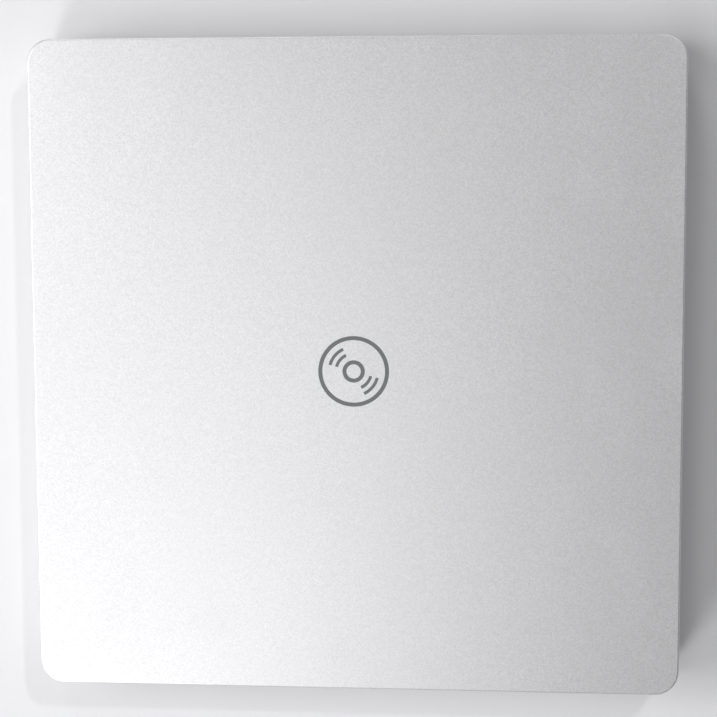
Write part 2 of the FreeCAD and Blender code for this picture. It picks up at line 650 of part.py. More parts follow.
def block(x, y, z):
    """A box between two formulas along each axis."""
    solid = doc.addObject("Part::Box", "block")
    for axis, size, (low, high) in zip("xyz", ("Length", "Width", "Height"), (x, y, z)):
        bind(solid, f"Placement.Base.{axis}", low)
        bind(solid, size, f"({high}) - ({low})")
    return solid


def rod(x, y, z, radius, length, along="z"):
    """A cylinder that starts at a point and runs along an axis."""
    turns = {"x": Rotation(Vector(0, 1, 0), 90), "y": Rotation(Vector(1, 0, 0), -90), "z": Rotation()}
    solid = doc.addObject("Part::Cylinder", "rod")
    solid.Placement = Placement(Vector(), turns[along])
    for axis, place in zip("xyz", (x, y, z)):
        bind(solid, f"Placement.Base.{axis}", place)
    bind(solid, "Radius", radius)
    bind(solid, "Height", length)
    return solid


def drill(x, y, radius):
    """A cutter along Z through everything."""
    return rod(x, y, "0", radius, "case_height")


def fuse(*solids):
    joined = doc.addObject("Part::MultiFuse", "fuse")
    joined.Shapes = list(solids)
    return joined


def cut(base, *tools):
    less = doc.addObject("Part::Cut", "cut")
    less.Base = base
    less.Tool = tools[0] if len(tools) == 1 else fuse(*tools)
    return less


def common(*solids):
    shared = doc.addObject("Part::MultiCommon", "common")
    shared.Shapes = list(solids)
    return shared


def group(*solids):
    """Loose pieces in one node."""
    together = doc.addObject("Part::Compound", "group")
    together.Links = list(solids)
    return together


def soften(base, radius, wanted):
    """Rounds the edges of a Part object that the test picks."""
    doc.recompute()
    rounded_off = doc.addObject("Part::Fillet", "soften")
    rounded_off.Base = base
    size = value(radius)
    rounded_off.Edges = [(n, size, size) for n, e in enumerate(base.Shape.Edges, start=1) if wanted(e)]
    return rounded_off


def turned(together, degrees):
    """Turns a group about Z through the origin."""
    together.Placement = Placement(Vector(), Rotation(Vector(0, 0, 1), degrees))
    return together


def travelled(*things, turn=0.0):
    """Moves pieces made in the mechanism's frame to their place in the tray."""
    for thing in things:
        turning = Rotation(Vector(0, 0, 1), TRAVEL_ANGLE + turn)
        thing.Placement = Placement(Vector(0, value("spindle_y"), 0), turning)


def helix_sweep(pitch, length, radius, outward, sides, size):
    """A polygon swept along a helix about Z; its middle stands outward of the helix."""
    path = doc.addObject("Part::Helix", "path")
    for prop, formula in (("Pitch", pitch), ("Height", length), ("Radius", radius)):
        bind(path, prop, formula)
    section = doc.addObject("Part::RegularPolygon", "section")
    section.Polygon = sides
    bind(section, "Circumradius", size)
    section.Placement = Placement(Vector(), Rotation(Vector(1, 0, 0), 90))
    bind(section, "Placement.Base.x", f"({radius}) + ({outward})")
    swept = doc.addObject("Part::Sweep", "sweep")
    swept.Sections = [section]
    swept.Spine = (path, [])
    swept.Solid = True
    swept.Frenet = True
    return swept


def screw(seat, head, cap, shank, length, along="z", way=1):
    """A screw with a cross recess; from the seat of its head the shank runs along an axis, or against it."""
    axis = "xyz".index(along)

    def reach(near, far):
        """An extent measured from the seat towards the screw's tip."""
        near, far = (near, far) if way > 0 else (f"-({far})", f"-({near})")
        return f"({seat[axis]}) + ({near})", f"({seat[axis]}) + ({far})"

    def piece(radius, near, far):
        start = list(seat)
        start[axis], _ = reach(near, far)
        return rod(*start, radius, f"({far}) - ({near})", along)

    arms = []
    for long_side in (axis - 1, axis - 2):
        extents = [about(place, "cross_half") for place in seat]
        extents[long_side] = about(seat[long_side], f"({head}) * cross_reach")
        extents[axis] = reach(f"-({cap}) - play", f"-({cap}) * cross_floor")
        arms.append(block(*extents))
    return cut(fuse(piece(head, f"-({cap})", "0"), piece(shank, "0", length)), *arms)


def chips(level, places, way):
    """Chips that stand on a board (way 1) or hang under it (way -1)."""
    bodies = []
    for x, y, width, depth, tall in places:
        z = (level, f"{level} + {tall}") if way > 0 else (f"{level} - {tall}", level)
        bodies.append(block(about(x, width / 2), about(y, depth / 2), z))
    return bodies


# ---- PartDesign bodies


class Solid:
    """A PartDesign body built feature by feature; every sketch is bound to the sheet."""

    def __init__(self, name):
        self.body = doc.addObject("PartDesign::Body", name)
        self.planes = {f.Role: f for f in self.body.Origin.OriginFeatures}

    def sketch(self, offset, plane="XY_Plane", turn=0.0):
        """A sketch on an origin plane, moved along the plane's normal and turned about it."""
        outline = self.body.newObject("Sketcher::SketchObject", "outline")
        outline.AttachmentSupport = [(self.planes[plane], "")]
        outline.MapMode = "FlatFace"
        outline.AttachmentOffset = Placement(Vector(), Rotation(Vector(0, 0, 1), turn))
        bind(outline, "AttachmentOffset.Base.z", offset)
        return outline

    def upright_sketch(self, depth):
        """A sketch in X and Z that stands at one depth; its normal points towards -Y."""
        return self.sketch(f"-({depth})", "XZ_Plane")

    def askew_sketch(self, offset):
        """A level sketch in the mechanism's frame."""
        outline = self.sketch(offset, turn=TRAVEL_ANGLE)
        bind(outline, "AttachmentOffset.Base.y", "spindle_y")
        return outline

    def feature(self, kind, outline, length, up):
        made = self.body.newObject(f"PartDesign::{kind}", kind.lower())
        made.Profile = outline
        bind(made, "Length", length)
        made.Reversed = up if kind == "Pocket" else not up
        outline.Visibility = False
        return made

    def pad(self, outline, length, up=True):
        """Adds material along the sketch's normal when up, against it otherwise."""
        return self.feature("Pad", outline, length, up)

    def pocket(self, outline, length, up=False):
        """Cuts along the sketch's normal when up, against it otherwise, and must remove material."""
        doc.recompute()
        before = self.body.Shape.Volume
        made = self.feature("Pocket", outline, length, up)
        doc.recompute()
        if not made.Shape.Volume < before - TOUCH:
            raise RuntimeError(f"a pocket in {self.body.Name} cuts nothing")
        return made

    def round(self, radius, wanted):
        """Rounds the edges of the body so far that the test picks."""
        doc.recompute()
        tip = self.body.Tip
        edges = [f"Edge{n}" for n, e in enumerate(tip.Shape.Edges, start=1) if wanted(e)]
        made = self.body.newObject("PartDesign::Fillet", "fillet")
        made.Base = (tip, edges)
        bind(made, "Radius", radius)
        return made


def pin_point(outline, geometry, point, x, y):
    """Fixes one point of a sketch to two formulas."""
    for kind, place in (("DistanceX", x), ("DistanceY", y)):
        number = outline.addConstraint(Sketcher.Constraint(kind, -1, 1, geometry, point, value(place)))
        bind(outline, f"Constraints[{number}]", place)


def pin_radius(outline, geometry, radius):
    number = outline.addConstraint(Sketcher.Constraint("Radius", geometry, value(radius)))
    bind(outline, f"Constraints[{number}]", radius)


def arc(x, y, radius, start, end):
    """An arc in a sketch's plane, between two angles in quarter turns."""
    whole = Part.Circle(Vector(x, y, 0), Vector(0, 0, 1), radius)
    return Part.ArcOfCircle(whole, start * math.pi / 2, end * math.pi / 2)


def polygon(outline, corners):
    """A closed outline whose corners are pairs of formulas."""
    first = outline.GeometryCount
    points = [Vector(value(x), value(y), 0) for x, y in corners]
    count = len(points)
    outline.addGeometry([Part.LineSegment(points[i], points[(i + 1) % count]) for i in range(count)], False)
    for i in range(count):
        outline.addConstraint(Sketcher.Constraint("Coincident", first + i, 2, first + (i + 1) % count, 1))
        pin_point(outline, first + i, 1, *corners[i])
    return outline


def rectangle(outline, x, y):
    """A rectangle between two formulas along each axis."""
    return polygon(outline, [(x[0], y[0]), (x[1], y[0]), (x[1], y[1]), (x[0], y[1])])


def circle(outline, x, y, radius):
    whole = Part.Circle(Vector(value(x), value(y), 0), Vector(0, 0, 1), value(radius))
    geometry = outline.addGeometry(whole, False)
    pin_point(outline, geometry, 3, x, y)
    pin_radius(outline, geometry, radius)
    return outline


def slot(outline, x, y, length, width):
    """A round-ended slot along the sketch's first axis, centred on a point."""
    radius = f"({width}) / 2"
    ends = about(x, f"(({length}) - ({width})) / 2")
    left, right, level, r = (value(f) for f in (*ends, y, radius))
    n = outline.GeometryCount
    outline.addGeometry([arc(left, level, r, 1, 3), arc(right, level, r, -1, 1)], False)
    lower = Part.LineSegment(Vector(left, level - r, 0), Vector(right, level - r, 0))
    upper = Part.LineSegment(Vector(right, level + r, 0), Vector(left, level + r, 0))
    outline.addGeometry([lower, upper], False)
    for a, b in ((n, n + 2), (n + 2, n + 1), (n + 1, n + 3), (n + 3, n)):
        outline.addConstraint(Sketcher.Constraint("Tangent", a, 2, b, 1))
    pin_point(outline, n, 3, ends[0], y)
    pin_point(outline, n + 1, 3, ends[1], y)
    outline.addConstraint(Sketcher.Constraint("Equal", n, n + 1))
    pin_radius(outline, n, radius)
    return outline


def rounded(outline, x, y, radius):
    """A rectangle between two formulas along each axis, with round corners."""
    left, right = f"{x[0]} + ({radius})", f"{x[1]} - ({radius})"
    low, high = f"{y[0]} + ({radius})", f"{y[1]} - ({radius})"
    centres = [(right, low), (right, high), (left, high), (left, low)]
    first = outline.GeometryCount
    size = value(radius)
    arcs = [arc(value(cx), value(cy), size, n - 1, n) for n, (cx, cy) in enumerate(centres)]
    outline.addGeometry(arcs, False)
    for n in range(4):
        following = (n + 1) % 4
        side = outline.addGeometry(Part.LineSegment(arcs[n].EndPoint, arcs[following].StartPoint), False)
        outline.addConstraint(Sketcher.Constraint("Tangent", first + n, 2, side, 1))
        outline.addConstraint(Sketcher.Constraint("Tangent", side, 2, first + following, 1))
    for n, centre in enumerate(centres):
        pin_point(outline, first + n, 3, *centre)
        pin_radius(outline, first + n, radius)
    return outline


def case_outline(outline, inset="0"):
    """The case's rounded outline in plan, less an inset."""
    half_width, half_depth = f"({SIDE} - ({inset}))", f"({BACK} - ({inset}))"
    sides = (f"-{half_width}", half_width), (f"-{half_depth}", half_depth)
    return rounded(outline, *sides, f"(corner_radius - ({inset}))")


# ---- case


def top_cover():
    """Aluminium shell: flat plate with a rounded edge, skirt, front opening, ribs and screw pillars."""
    solid = Solid("top_cover_body")
    solid.pad(case_outline(solid.sketch("parting_height")), "case_height - parting_height")
    solid.round("edge_round", at_height("case_height"))
    inside = case_outline(solid.sketch("parting_height"), "skirt_thickness")
    solid.pocket(inside, f"{PLATE_UNDER} - parting_height", up=True)
    opening = solid.sketch("parting_height")
    rectangle(opening, about("0", "opening_width / 2"), about(FRONT, "skirt_thickness + play"))
    solid.pocket(opening, "opening_high - parting_height", up=True)
    pillar_foot = "(boss_top + play)"
    pillars, holes, ribs = (solid.sketch(z) for z in (PLATE_UNDER, pillar_foot, PLATE_UNDER))
    for x, y in BOSSES:
        circle(pillars, x, y, "pillar_radius")
        circle(holes, x, y, "screw_radius + play / 2")
    solid.pad(pillars, f"{PLATE_UNDER} - {pillar_foot}", up=False)
    for step in (-1, 0, 1):
        ends = f"{DRIVE_BACK} + rib_gap", f"{BACK} - skirt_thickness - play"
        rectangle(ribs, about(f"{step} * rib_pitch", "rib_sheet / 2"), ends)
    solid.pad(ribs, "rib_depth", up=False)
    solid.pocket(holes, f"{SCREW_SEAT} + screw_length + screw_spare - {pillar_foot}", up=True)
    node("top_cover", solid.body)


def bottom_cover():
    """Plastic tray of the case: floor, wall, lip inside the skirt, bosses, pads and openings."""
    solid = Solid("bottom_cover_body")
    solid.pad(case_outline(solid.sketch("foot_rise")), f"{SPLIT} - foot_rise")
    solid.round("base_round", at_height("foot_rise"))
    solid.pad(case_outline(solid.sketch(SPLIT), "skirt_thickness + play"), "lip_height")
    solid.pocket(case_outline(solid.sketch(LIP_TOP), "base_wall"), f"{LIP_TOP} - {FLOOR}")
    opening = solid.sketch(LIP_TOP)
    rectangle(opening, about("0", "opening_width / 2"), about(FRONT, "base_wall + play"))
    solid.pocket(opening, f"{LIP_TOP} - opening_low")
    base_supports(solid)
    base_openings(solid)
    node("bottom_cover", solid.body)


def base_supports(solid):
    """Screw bosses, pads under the drive and posts of the bridge board."""
    bosses, pads, posts = (solid.sketch(FLOOR) for _ in range(3))
    for x, y in BOSSES:
        circle(bosses, x, y, "boss_radius")
    solid.pad(bosses, f"boss_top - {FLOOR}")
    for x, y in PADS:
        rectangle(pads, about(x, "pad_side / 2"), about(y, "pad_side / 2"))
    solid.pad(pads, f"drive_low - {FLOOR}")
    for x in BOARD_POSTS:
        circle(posts, x, "board_post_y", "post_radius")
    solid.pad(posts, f"board_low - {FLOOR}")


def base_openings(solid):
    """Screw holes, seats of the feet, blank field, vents and the port's cut-out."""
    holes, heads, feet, label, vents = (solid.sketch("foot_rise") for _ in range(5))
    for x, y in BOSSES:
        circle(holes, x, y, "screw_radius + play")
        circle(heads, x, y, "head_radius + play")
    solid.pocket(holes, "case_height", up=True)
    solid.pocket(heads, "head_depth", up=True)
    for x, y in FEET:
        circle(feet, x, y, "foot_radius + play")
    solid.pocket(feet, "foot_recess", up=True)
    rectangle(label, about("0", "label_width / 2"), about("-label_front", "label_depth / 2"))
    solid.pocket(label, "label_sink", up=True)
    for side in (-1, 1):
        for step in range(-2, 3):
            place = f"{side} * vent_across", f"vent_rear + {step} * vent_pitch"
            slot(vents, *place, "vent_length", "vent_width")
    solid.pocket(vents, "base_floor", up=True)
    port = solid.upright_sketch(f"{BACK} + past")
    slot(port, "port_x", PORT_CENTRE, "port_width + 2 * port_margin", "port_height + 2 * port_margin")
    solid.pocket(port, "base_wall + 2 * past", up=True)


def rubber_feet():
    feet = [rod(x, y, "0", "foot_radius", "foot_rise + foot_recess") for x, y in FEET]
    node("rubber_feet", group(*[soften(foot, "foot_round", at_height("0")) for foot in feet]))


def case_screws():
    sizes = "head_radius", "head_height", "screw_radius", "screw_length"
    node("case_screws", group(*[screw((x, y, SCREW_SEAT), *sizes) for x, y in BOSSES]))


# ---- housing of the drive


def drive_chassis():
    """Stamped steel pan, open to the front and the top."""
    solid = Solid("drive_chassis_body")
    outside = about("0", DRIVE_SIDE), (DRIVE_FRONT, DRIVE_BACK)
    solid.pad(rectangle(solid.sketch("drive_low"), *outside), "chassis_top - drive_low")
    inside = about("0", f"{DRIVE_SIDE} - sheet_wall"), (f"{DRIVE_FRONT} - past", DRIVE_INSIDE)
    solid.pocket(rectangle(solid.sketch("chassis_top"), *inside), f"chassis_top - {CHASSIS_FLOOR}")
    solid.round("sheet_wall", upright_at(DRIVE_BACK))
    plug = solid.upright_sketch(f"{DRIVE_BACK} + past")
    rectangle(plug, ("plug_left", "plug_right"), ("plug_low", "plug_high"))
    solid.pocket(plug, "sheet_wall + 2 * past", up=True)
    holes, grooves = solid.sketch("drive_low"), solid.sketch(CHASSIS_FLOOR)
    for x, y in FLOOR_HOLES:
        circle(holes, x, y, "floor_hole")
    circle(holes, *STUD, "rivet_radius")
    solid.pocket(holes, "sheet_floor", up=True)
    for side in (-1, 1):
        slot(grooves, f"{side} * groove_across", "-groove_front", "groove_length", "groove_width")
    solid.pocket(grooves, "sheet_floor / 2")
    flange_holes(solid)
    node("drive_chassis", solid.body)


def drive_lid():
    """Steel lid whose flanges close over the chassis walls."""
    solid = Solid("drive_lid_body")
    tail = (f"{DRIVE_BACK} + play", f"{DRIVE_BACK} + play + sheet_floor")
    flat = solid.sketch(LID_LOW)
    rectangle(flat, about("0", LID_SIDE), (DRIVE_FRONT, tail[1]))
    solid.pad(flat, "sheet_floor")
    flanges = solid.sketch(LID_LOW)
    for side in (1, -1):
        rectangle(flanges, both(side, f"{DRIVE_SIDE} + play", LID_SIDE), (DRIVE_FRONT, DRIVE_BACK))
    rectangle(flanges, ("tail_left", "tail_right"), tail)
    solid.pad(flanges, "lid_flange", up=False)
    ring = solid.sketch(LID_TOP)
    circle(ring, "0", "spindle_y", "ring_outer")
    circle(ring, "0", "spindle_y", "ring_inner")
    solid.pocket(ring, "sheet_floor / 2")
    flange_holes(solid)
    node("drive_lid", solid.body)


def flange_holes(solid):
    """Holes along X through both walls for the screws that hold the lid's flanges."""
    holes = solid.sketch(f"-{LID_SIDE} - past", "YZ_Plane")
    for step in (-1, 0, 1):
        circle(holes, f"{step} * flange_screw_y", "flange_screw_z", "small_shank + play / 2")
    solid.pocket(holes, f"2 * ({LID_SIDE} + past)", up=True)


def chassis_screws():
    """Flat screws that hold the lid's flanges."""
    sizes = "small_head", "flange_cap", "small_shank", "flange_shank"
    screws = []
    for step in (-1, 0, 1):
        for side in (1, -1):
            seat = f"{side} * {LID_SIDE}", f"{step} * flange_screw_y", "flange_screw_z"
            screws.append(screw(seat, *sizes, along="x", way=-side))
    node("chassis_screws", group(*screws))


def latch_pin():
    """Riveted stud on the chassis floor that the latch lever hooks behind."""
    rivet = rod(*STUD, "drive_low", "rivet_radius", "sheet_floor")
    stud = rod(*STUD, CHASSIS_FLOOR, "stud_radius", f"stud_top - {CHASSIS_FLOOR}")
    node("latch_pin", fuse(rivet, stud))


def guide_channel(name, side):
    """Moulded channel on the chassis wall that holds a slide rail."""
    front, back = f"{DRIVE_FRONT} + channel_front", f"{DRIVE_INSIDE} - channel_back"
    height = "channel_low", "channel_high"
    outer = block(both(side, "channel_inner", "channel_outer"), (front, back), height)
    inner = block(
        both(side, "channel_inner - past", "channel_outer - web"),
        (f"{front} - past", f"{back} + past"),
        ("channel_low + web", "channel_high - web"),
    )
    node(name, cut(outer, inner))


def slide_rail(name, side):
    """Steel rail between channel and tray; it travels half as far as the tray."""
    height = "rail_low", "rail_high"
    outer = block(both(side, "rail_inner", "rail_outer"), ("rail_front", "rail_back"), height)
    inner = block(
        both(side, "rail_inner - past", "rail_outer - web"),
        ("rail_front - past", "rail_back + past"),
        ("rail_low + web", "rail_high - web"),
    )
    near, far = both(side, "rail_inner - past", "rail_outer + past")
    holes = []
    for n in range(5):
        y = f"rail_front + rail_hole_first + {n} * rail_hole_pitch"
        holes.append(rod(near, y, "(rail_low + rail_high) / 2", "rail_hole", f"({far}) - ({near})", "x"))
    node(name, cut(outer, inner, *holes))


def runners():
    for side, word in ((1, "right"), (-1, "left")):
        guide_channel(f"guide_channel_{word}", side)
        slide_rail(f"slide_rail_{word}", side)


# ---- tray


def tray():
    """Moulded tray: deck with disc recesses, walls and runner ribs, windows for the mechanism."""
    solid = Solid("tray_body")
    deck = about("0", "tray_half"), ("tray_front", "tray_back")
    solid.pad(rectangle(solid.sketch("deck_low"), *deck), "deck_high - deck_low")
    solid.round("tray_corner", upright_at("tray_back"))
    solid.round("deck_round", at_height("deck_high"))
    tray_walls(solid)
    tray_pegs(solid)
    tray_recesses(solid)
    tray_ways(solid)
    node("tray", solid.body)


def tray_walls(solid):
    """Walls under the deck and the ribs that run in the slide rails."""
    walls, ribs = solid.sketch("deck_low"), solid.sketch("runner_low")
    rectangle(walls, about("0", "belly_half"), ("tray_front", "tray_back"))
    inner = about("0", "belly_half - belly_wall"), ("tray_front + tray_wall", "tray_back - tray_wall")
    rectangle(walls, *inner)
    solid.pad(walls, "deck_low - belly_low", up=False)
    for side in (1, -1):
        rectangle(ribs, both(side, "belly_half", "runner_half"), ("tray_front", "tray_back"))
    solid.pad(ribs, "runner_high - runner_low")


def tray_pegs(solid):
    """Screw posts, pegs that the traverse hangs on, and the latch lever's pivot."""
    posts, pilots = solid.sketch("deck_low"), solid.sketch("belly_low")
    for x, y in TRAY_POSTS:
        circle(posts, x, y, "post_radius")
        circle(pilots, x, y, "small_shank")
    solid.pad(posts, f"deck_low - {SHIELD_TOP}", up=False)
    solid.pocket(pilots, "pilot_depth", up=True)
    hangers = solid.askew_sketch("deck_low")
    for u, v in DAMPERS:
        circle(hangers, u, v, "hanger_radius")
    solid.pad(hangers, f"deck_low - {FRAME_TOP} - grommet_flange", up=False)
    pivot = circle(solid.sketch("deck_low"), *PIVOT, "pivot_radius")
    solid.pad(pivot, "deck_low - pivot_foot", up=False)


def tray_recesses(solid):
    """Disc recesses, finger notches, the bed of the mechanism's cover and the windows under it."""
    large = circle(solid.sketch("deck_high"), "0", "spindle_y", "recess_radius")
    solid.pocket(large, "deck_high - recess_floor")
    small = circle(solid.sketch("recess_floor"), "0", "spindle_y", "small_radius")
    solid.pocket(small, "recess_floor - small_floor")
    notches = solid.sketch("deck_high")
    for angle in FINGER_ANGLES:
        x, y = at_angle("finger_place", angle)
        circle(notches, x, f"spindle_y + {y}", "finger_radius")
    solid.pocket(notches, "deck_high - recess_floor")
    bed = solid.askew_sketch("recess_floor")
    rectangle(bed, ("plate_near - play", "plate_far + play"), about("0", "plate_half + play"))
    solid.pocket(bed, "recess_floor - plate_low")
    for kind in ("window", "slot"):
        opening = solid.askew_sketch("deck_high")
        rectangle(opening, (f"{kind}_near", f"{kind}_far"), about("0", f"{kind}_half"))
        solid.pocket(opening, "deck_high - deck_low")


def tray_ways(solid):
    """Openings of the front and rear walls for the controls, the latch stud and the ejector."""
    rear = "tray_back - tray_wall - past", "tray_back + past"
    front = "tray_front - past", "tray_front + tray_wall + play"
    ways = (
        (about("stud_x", "stud_way / 2"), rear, "stud_way_top"),
        (about("ejector_x", "ejector_way / 2"), rear, "ejector_way_top"),
        (("controls_left", "controls_right"), front, "deck_low"),
    )
    for x, y, top in ways:
        solid.pocket(rectangle(solid.sketch("belly_low"), x, y), f"{top} - belly_low", up=True)


def tray_underplate():
    """Steel shield under the tray, open for the flat cable and clear of the latch stud's way."""
    left, right = "-belly_half + belly_wall + play", "stud_x - stud_way / 2 - shield_sheet"
    depth = "tray_front + shield_gap", "tray_back - shield_gap"
    plate = block((left, right), depth, ("belly_low", SHIELD_TOP))
    cable_hole = block(("cable_hole_left", "cable_hole_right"), ("cable_hole_front", "tray_back"), THROUGH)
    vents = []
    for x in ("shield_vent_left", "shield_vent_right"):
        vents += [drill(x, f"{step} * shield_vent_pitch", "shield_vent") for step in (-1, 0, 1)]
    holes = [drill(x, y, "small_shank + play / 2") for x, y in TRAY_POSTS]
    node("tray_underplate", cut(plate, cable_hole, *vents, *holes))


def tray_screws():
    """Low-head screws that hold the shield to the tray's posts."""
    sizes = "shield_head", "shield_cap", "small_shank", "shield_shank"
    node("tray_screws", group(*[screw((x, y, "belly_low"), *sizes) for x, y in TRAY_POSTS]))


def tray_bezel():
    """Front bezel: skin with rounded edges, and openings for button, lamp and emergency pin."""
    solid = Solid("tray_bezel_body")
    face = solid.upright_sketch(BEZEL_FRONT)
    rectangle(face, about("0", "bezel_width / 2"), ("bezel_low", "bezel_high"))
    solid.pad(face, "bezel_depth", up=False)
    solid.round("bezel_round", at_depth(BEZEL_FRONT))
    inside = solid.upright_sketch(BEZEL_BACK)
    height = "bezel_low + bezel_skin", "bezel_high - bezel_skin"
    rectangle(inside, about("0", "bezel_width / 2 - bezel_skin"), height)
    solid.pocket(inside, "bezel_depth - bezel_skin", up=True)
    through = solid.upright_sketch(f"{BEZEL_FRONT} - past")
    slot(through, "button_x", "button_z", "button_width + 2 * play", "button_height + 2 * play")
    slot(through, "lamp_x", "button_z", "lamp_width + play", "lamp_height + play")
    circle(through, "pinhole_x", "button_z", "pinhole_radius")
    solid.pocket(through, "bezel_skin + 2 * past")
    posts = solid.upright_sketch(BEZEL_BACK)
    for x in BEZEL_POSTS:
        height = "deck_low + bezel_post_inset", "deck_high - bezel_post_inset"
        rectangle(posts, about(x, "bezel_post / 2"), height)
    solid.pad(posts, "bezel_depth - bezel_skin")
    node("tray_bezel", solid.body)


def eject_button():
    """Round-ended push button with a retaining flange behind the bezel."""
    solid = Solid("eject_button_body")
    face = f"{BEZEL_FRONT} - button_proud"
    cap = slot(solid.upright_sketch(face), "button_x", "button_z", "button_width", "button_height")
    solid.pad(cap, f"{FLANGE_FRONT} - ({face})", up=False)
    solid.round("button_round", at_depth(face))
    flange = solid.upright_sketch(FLANGE_FRONT)
    rectangle(flange, about("button_x", "flange_width / 2"), about("button_z", "flange_height / 2"))
    solid.pad(flange, "flange_sheet", up=False)
    node("eject_button", solid.body)


def lamp_lens():
    """Clear light pipe of the busy indicator."""
    solid = Solid("lamp_lens_body")
    window = slot(solid.upright_sketch(BEZEL_FRONT), "lamp_x", "button_z", "lamp_width", "lamp_height")
    solid.pad(window, "bezel_skin", up=False)
    stem = solid.upright_sketch(f"{BEZEL_FRONT} + bezel_skin")
    rectangle(stem, about("lamp_x", "stem_width / 2"), about("button_z", "stem_height / 2"))
    solid.pad(stem, "stem_length", up=False)
    node("lamp_lens", solid.body)


def switch_board():
    """Small board behind the bezel with the eject switch and the indicator lamp."""

    def depth(near, far):
        return f"tray_front + {near}", f"tray_front + {far}"

    under = "switch_top - switch_sheet"
    board = block(("switch_left", "switch_right"), depth("switch_near", "switch_far"), (under, "switch_top"))
    body = block(
        about("button_x", "switch_half"),
        depth("switch_face", "switch_rear"),
        (f"{under} - switch_tall", under),
    )
    tip = f"{FLANGE_FRONT} + flange_sheet + button_travel + play"
    length = f"tray_front + switch_face - ({tip})"
    plunger = rod("button_x", tip, f"{under} - switch_tall / 2", "switch_pin", length, "y")
    lamp = block(
        about("lamp_x", "diode_half"),
        depth("diode_near", "diode_far"),
        (f"{under} - diode_tall", under),
    )
    node("switch_board", fuse(board, body, plunger, lamp))


def tray_board():
    """Controller board under the rear of the deck, with its chips and the cable header."""
    height = LOGIC_LOW, "deck_low - logic_gap"
    board = block(about("0", "logic_half"), ("logic_front", "logic_back"), height)
    node("tray_board", cut(board, *[drill(x, y, "logic_hole") for x, y in BOARD_CORNERS]))
    header = block(("header_left", "header_right"), ("header_front", "header_back"), (HEADER_LOW, LOGIC_LOW))
    node("tray_chips", group(header, *chips(LOGIC_LOW, TRAY_CHIPS, way=-1)))


# ---- latch and ejector


def latch():
    """Latch lever on its pivot, and the solenoid that frees it."""
    x, y = PIVOT
    hook, tip = f"{y} - hook_start", f"{y} - lever_reach"
    arm = [(f"{x} - lever_half", y), (f"{x} + lever_half", y), (f"{x} + hook_neck", hook)]
    arm += [(f"{x} + hook_end", hook), (f"{x} + hook_end", tip), (f"{x} - lever_tip", tip)]
    solid = Solid("latch_lever_body")
    solid.pad(polygon(solid.sketch("lever_low"), arm), "lever_sheet")
    solid.pad(circle(solid.sketch("lever_low"), x, y, "lever_hub"), "lever_hub_height")
    hole = circle(solid.sketch("lever_low"), x, y, "pivot_radius + play")
    solid.pocket(hole, "lever_hub_height", up=True)
    node("latch_lever", solid.body)
    height = SHIELD_TOP, "deck_low - 2 * play"
    coil = block(("coil_left", "coil_right"), ("coil_front", "coil_back"), height)
    core = rod("coil_right", "core_y", "core_z", "core_radius", "core_length", "x")
    node("latch_solenoid", fuse(coil, core))


def ejector():
    """Spring plunger that pushes off the chassis wall and starts the tray moving."""
    x, z = "ejector_x", "ejector_z"
    under = f"{LOGIC_LOW} - bracket_sheet"
    bridge = block(about(x, "bracket_half"), ("bracket_front", "bracket_back"), (under, LOGIC_LOW))
    cheeks = []
    for y in ("bracket_front", "bracket_back - bracket_wall"):
        cheeks.append(block(about(x, "bracket_cheek"), (y, f"{y} + bracket_wall"), ("bracket_foot", under)))
    bore = rod(x, "0", z, "plunger_radius + play / 2", BACK, "y")
    node("ejector_bracket", cut(fuse(bridge, *cheeks), bore))
    length = f"{DRIVE_INSIDE} - play - plunger_front"
    pin = rod(x, "plunger_front", z, "plunger_radius", length, "y")
    collar = rod(x, "collar_front", z, "collar_radius", "collar_length", "y")
    node("ejector_plunger", fuse(pin, collar))
    spring = helix_sweep("spring_pitch", "spring_length", "spring_radius", "0", 8, "wire_radius")
    place = Vector(value(x), value("spring_front"), value(z))
    spring.Placement = Placement(place, Rotation(Vector(1, 0, 0), -90))
    node("ejector_spring", group(spring))


# ---- disc mechanism, made with the pickup's travel along X and the spindle at the origin


def mechanism_cover():
    """Thin plate round the turntable and the lens slot, with its screws."""
    z = "plate_low", "plate_low + plate_sheet"
    plate = soften(block(("plate_near", "plate_far"), about("0", "plate_half"), z), "plate_corner", upright)
    way = block(("plate_slot_near", "plate_far + past"), about("0", "plate_slot_half"), THROUGH)
    holes = [drill(u, v, "screw_radius + play") for u, v in COVER_SCREWS]
    cover = node("mechanism_cover", cut(plate, drill("0", "0", "hub_hole"), way, *holes))
    sizes = "plate_head", "plate_cap", "screw_radius", "plate_sheet"
    screws = [screw((u, v, z[1]), *sizes, way=-1) for u, v in COVER_SCREWS]
    travelled(cover, node("cover_screws", group(*screws)))


def traverse_frame():
    """Frame that carries spindle motor, guide rods and lead screw, hung on three dampers."""
    solid = Solid("traverse_frame_body")
    solid.pad(polygon(solid.sketch("frame_low"), FRAME_CORNERS), "frame_sheet")
    ears = solid.sketch("frame_low")
    for u, v in DAMPERS:
        circle(ears, u, v, "ear_radius")
    solid.pad(ears, "frame_sheet")
    frame_supports(solid)
    frame_openings(solid)
    travelled(node("traverse_frame", solid.body))


def frame_supports(solid):
    """Blocks that hold the rods and the lead screw, with their bores."""
    supports = solid.sketch(FRAME_TOP)
    for v, far in (("main_rod_v", "main_far"), ("side_rod_v", "side_far")):
        width = about(v, "support_half")
        rectangle(supports, ("support_near", "support_near + support_inner"), width)
        rectangle(supports, (far, f"{far} + support_outer"), width)
    rectangle(supports, ("journal_near", "journal_far"), about("screw_v", "journal_half"))
    solid.pad(supports, f"support_top - {FRAME_TOP}")
    bores = solid.sketch("journal_near - past", "YZ_Plane")
    for v in ("main_rod_v", "side_rod_v"):
        circle(bores, v, "rod_height", "rod_radius + play / 4")
    circle(bores, "screw_v", "screw_height", "journal_bore")
    solid.pocket(bores, "main_far + support_outer + 2 * past - journal_near", up=True)


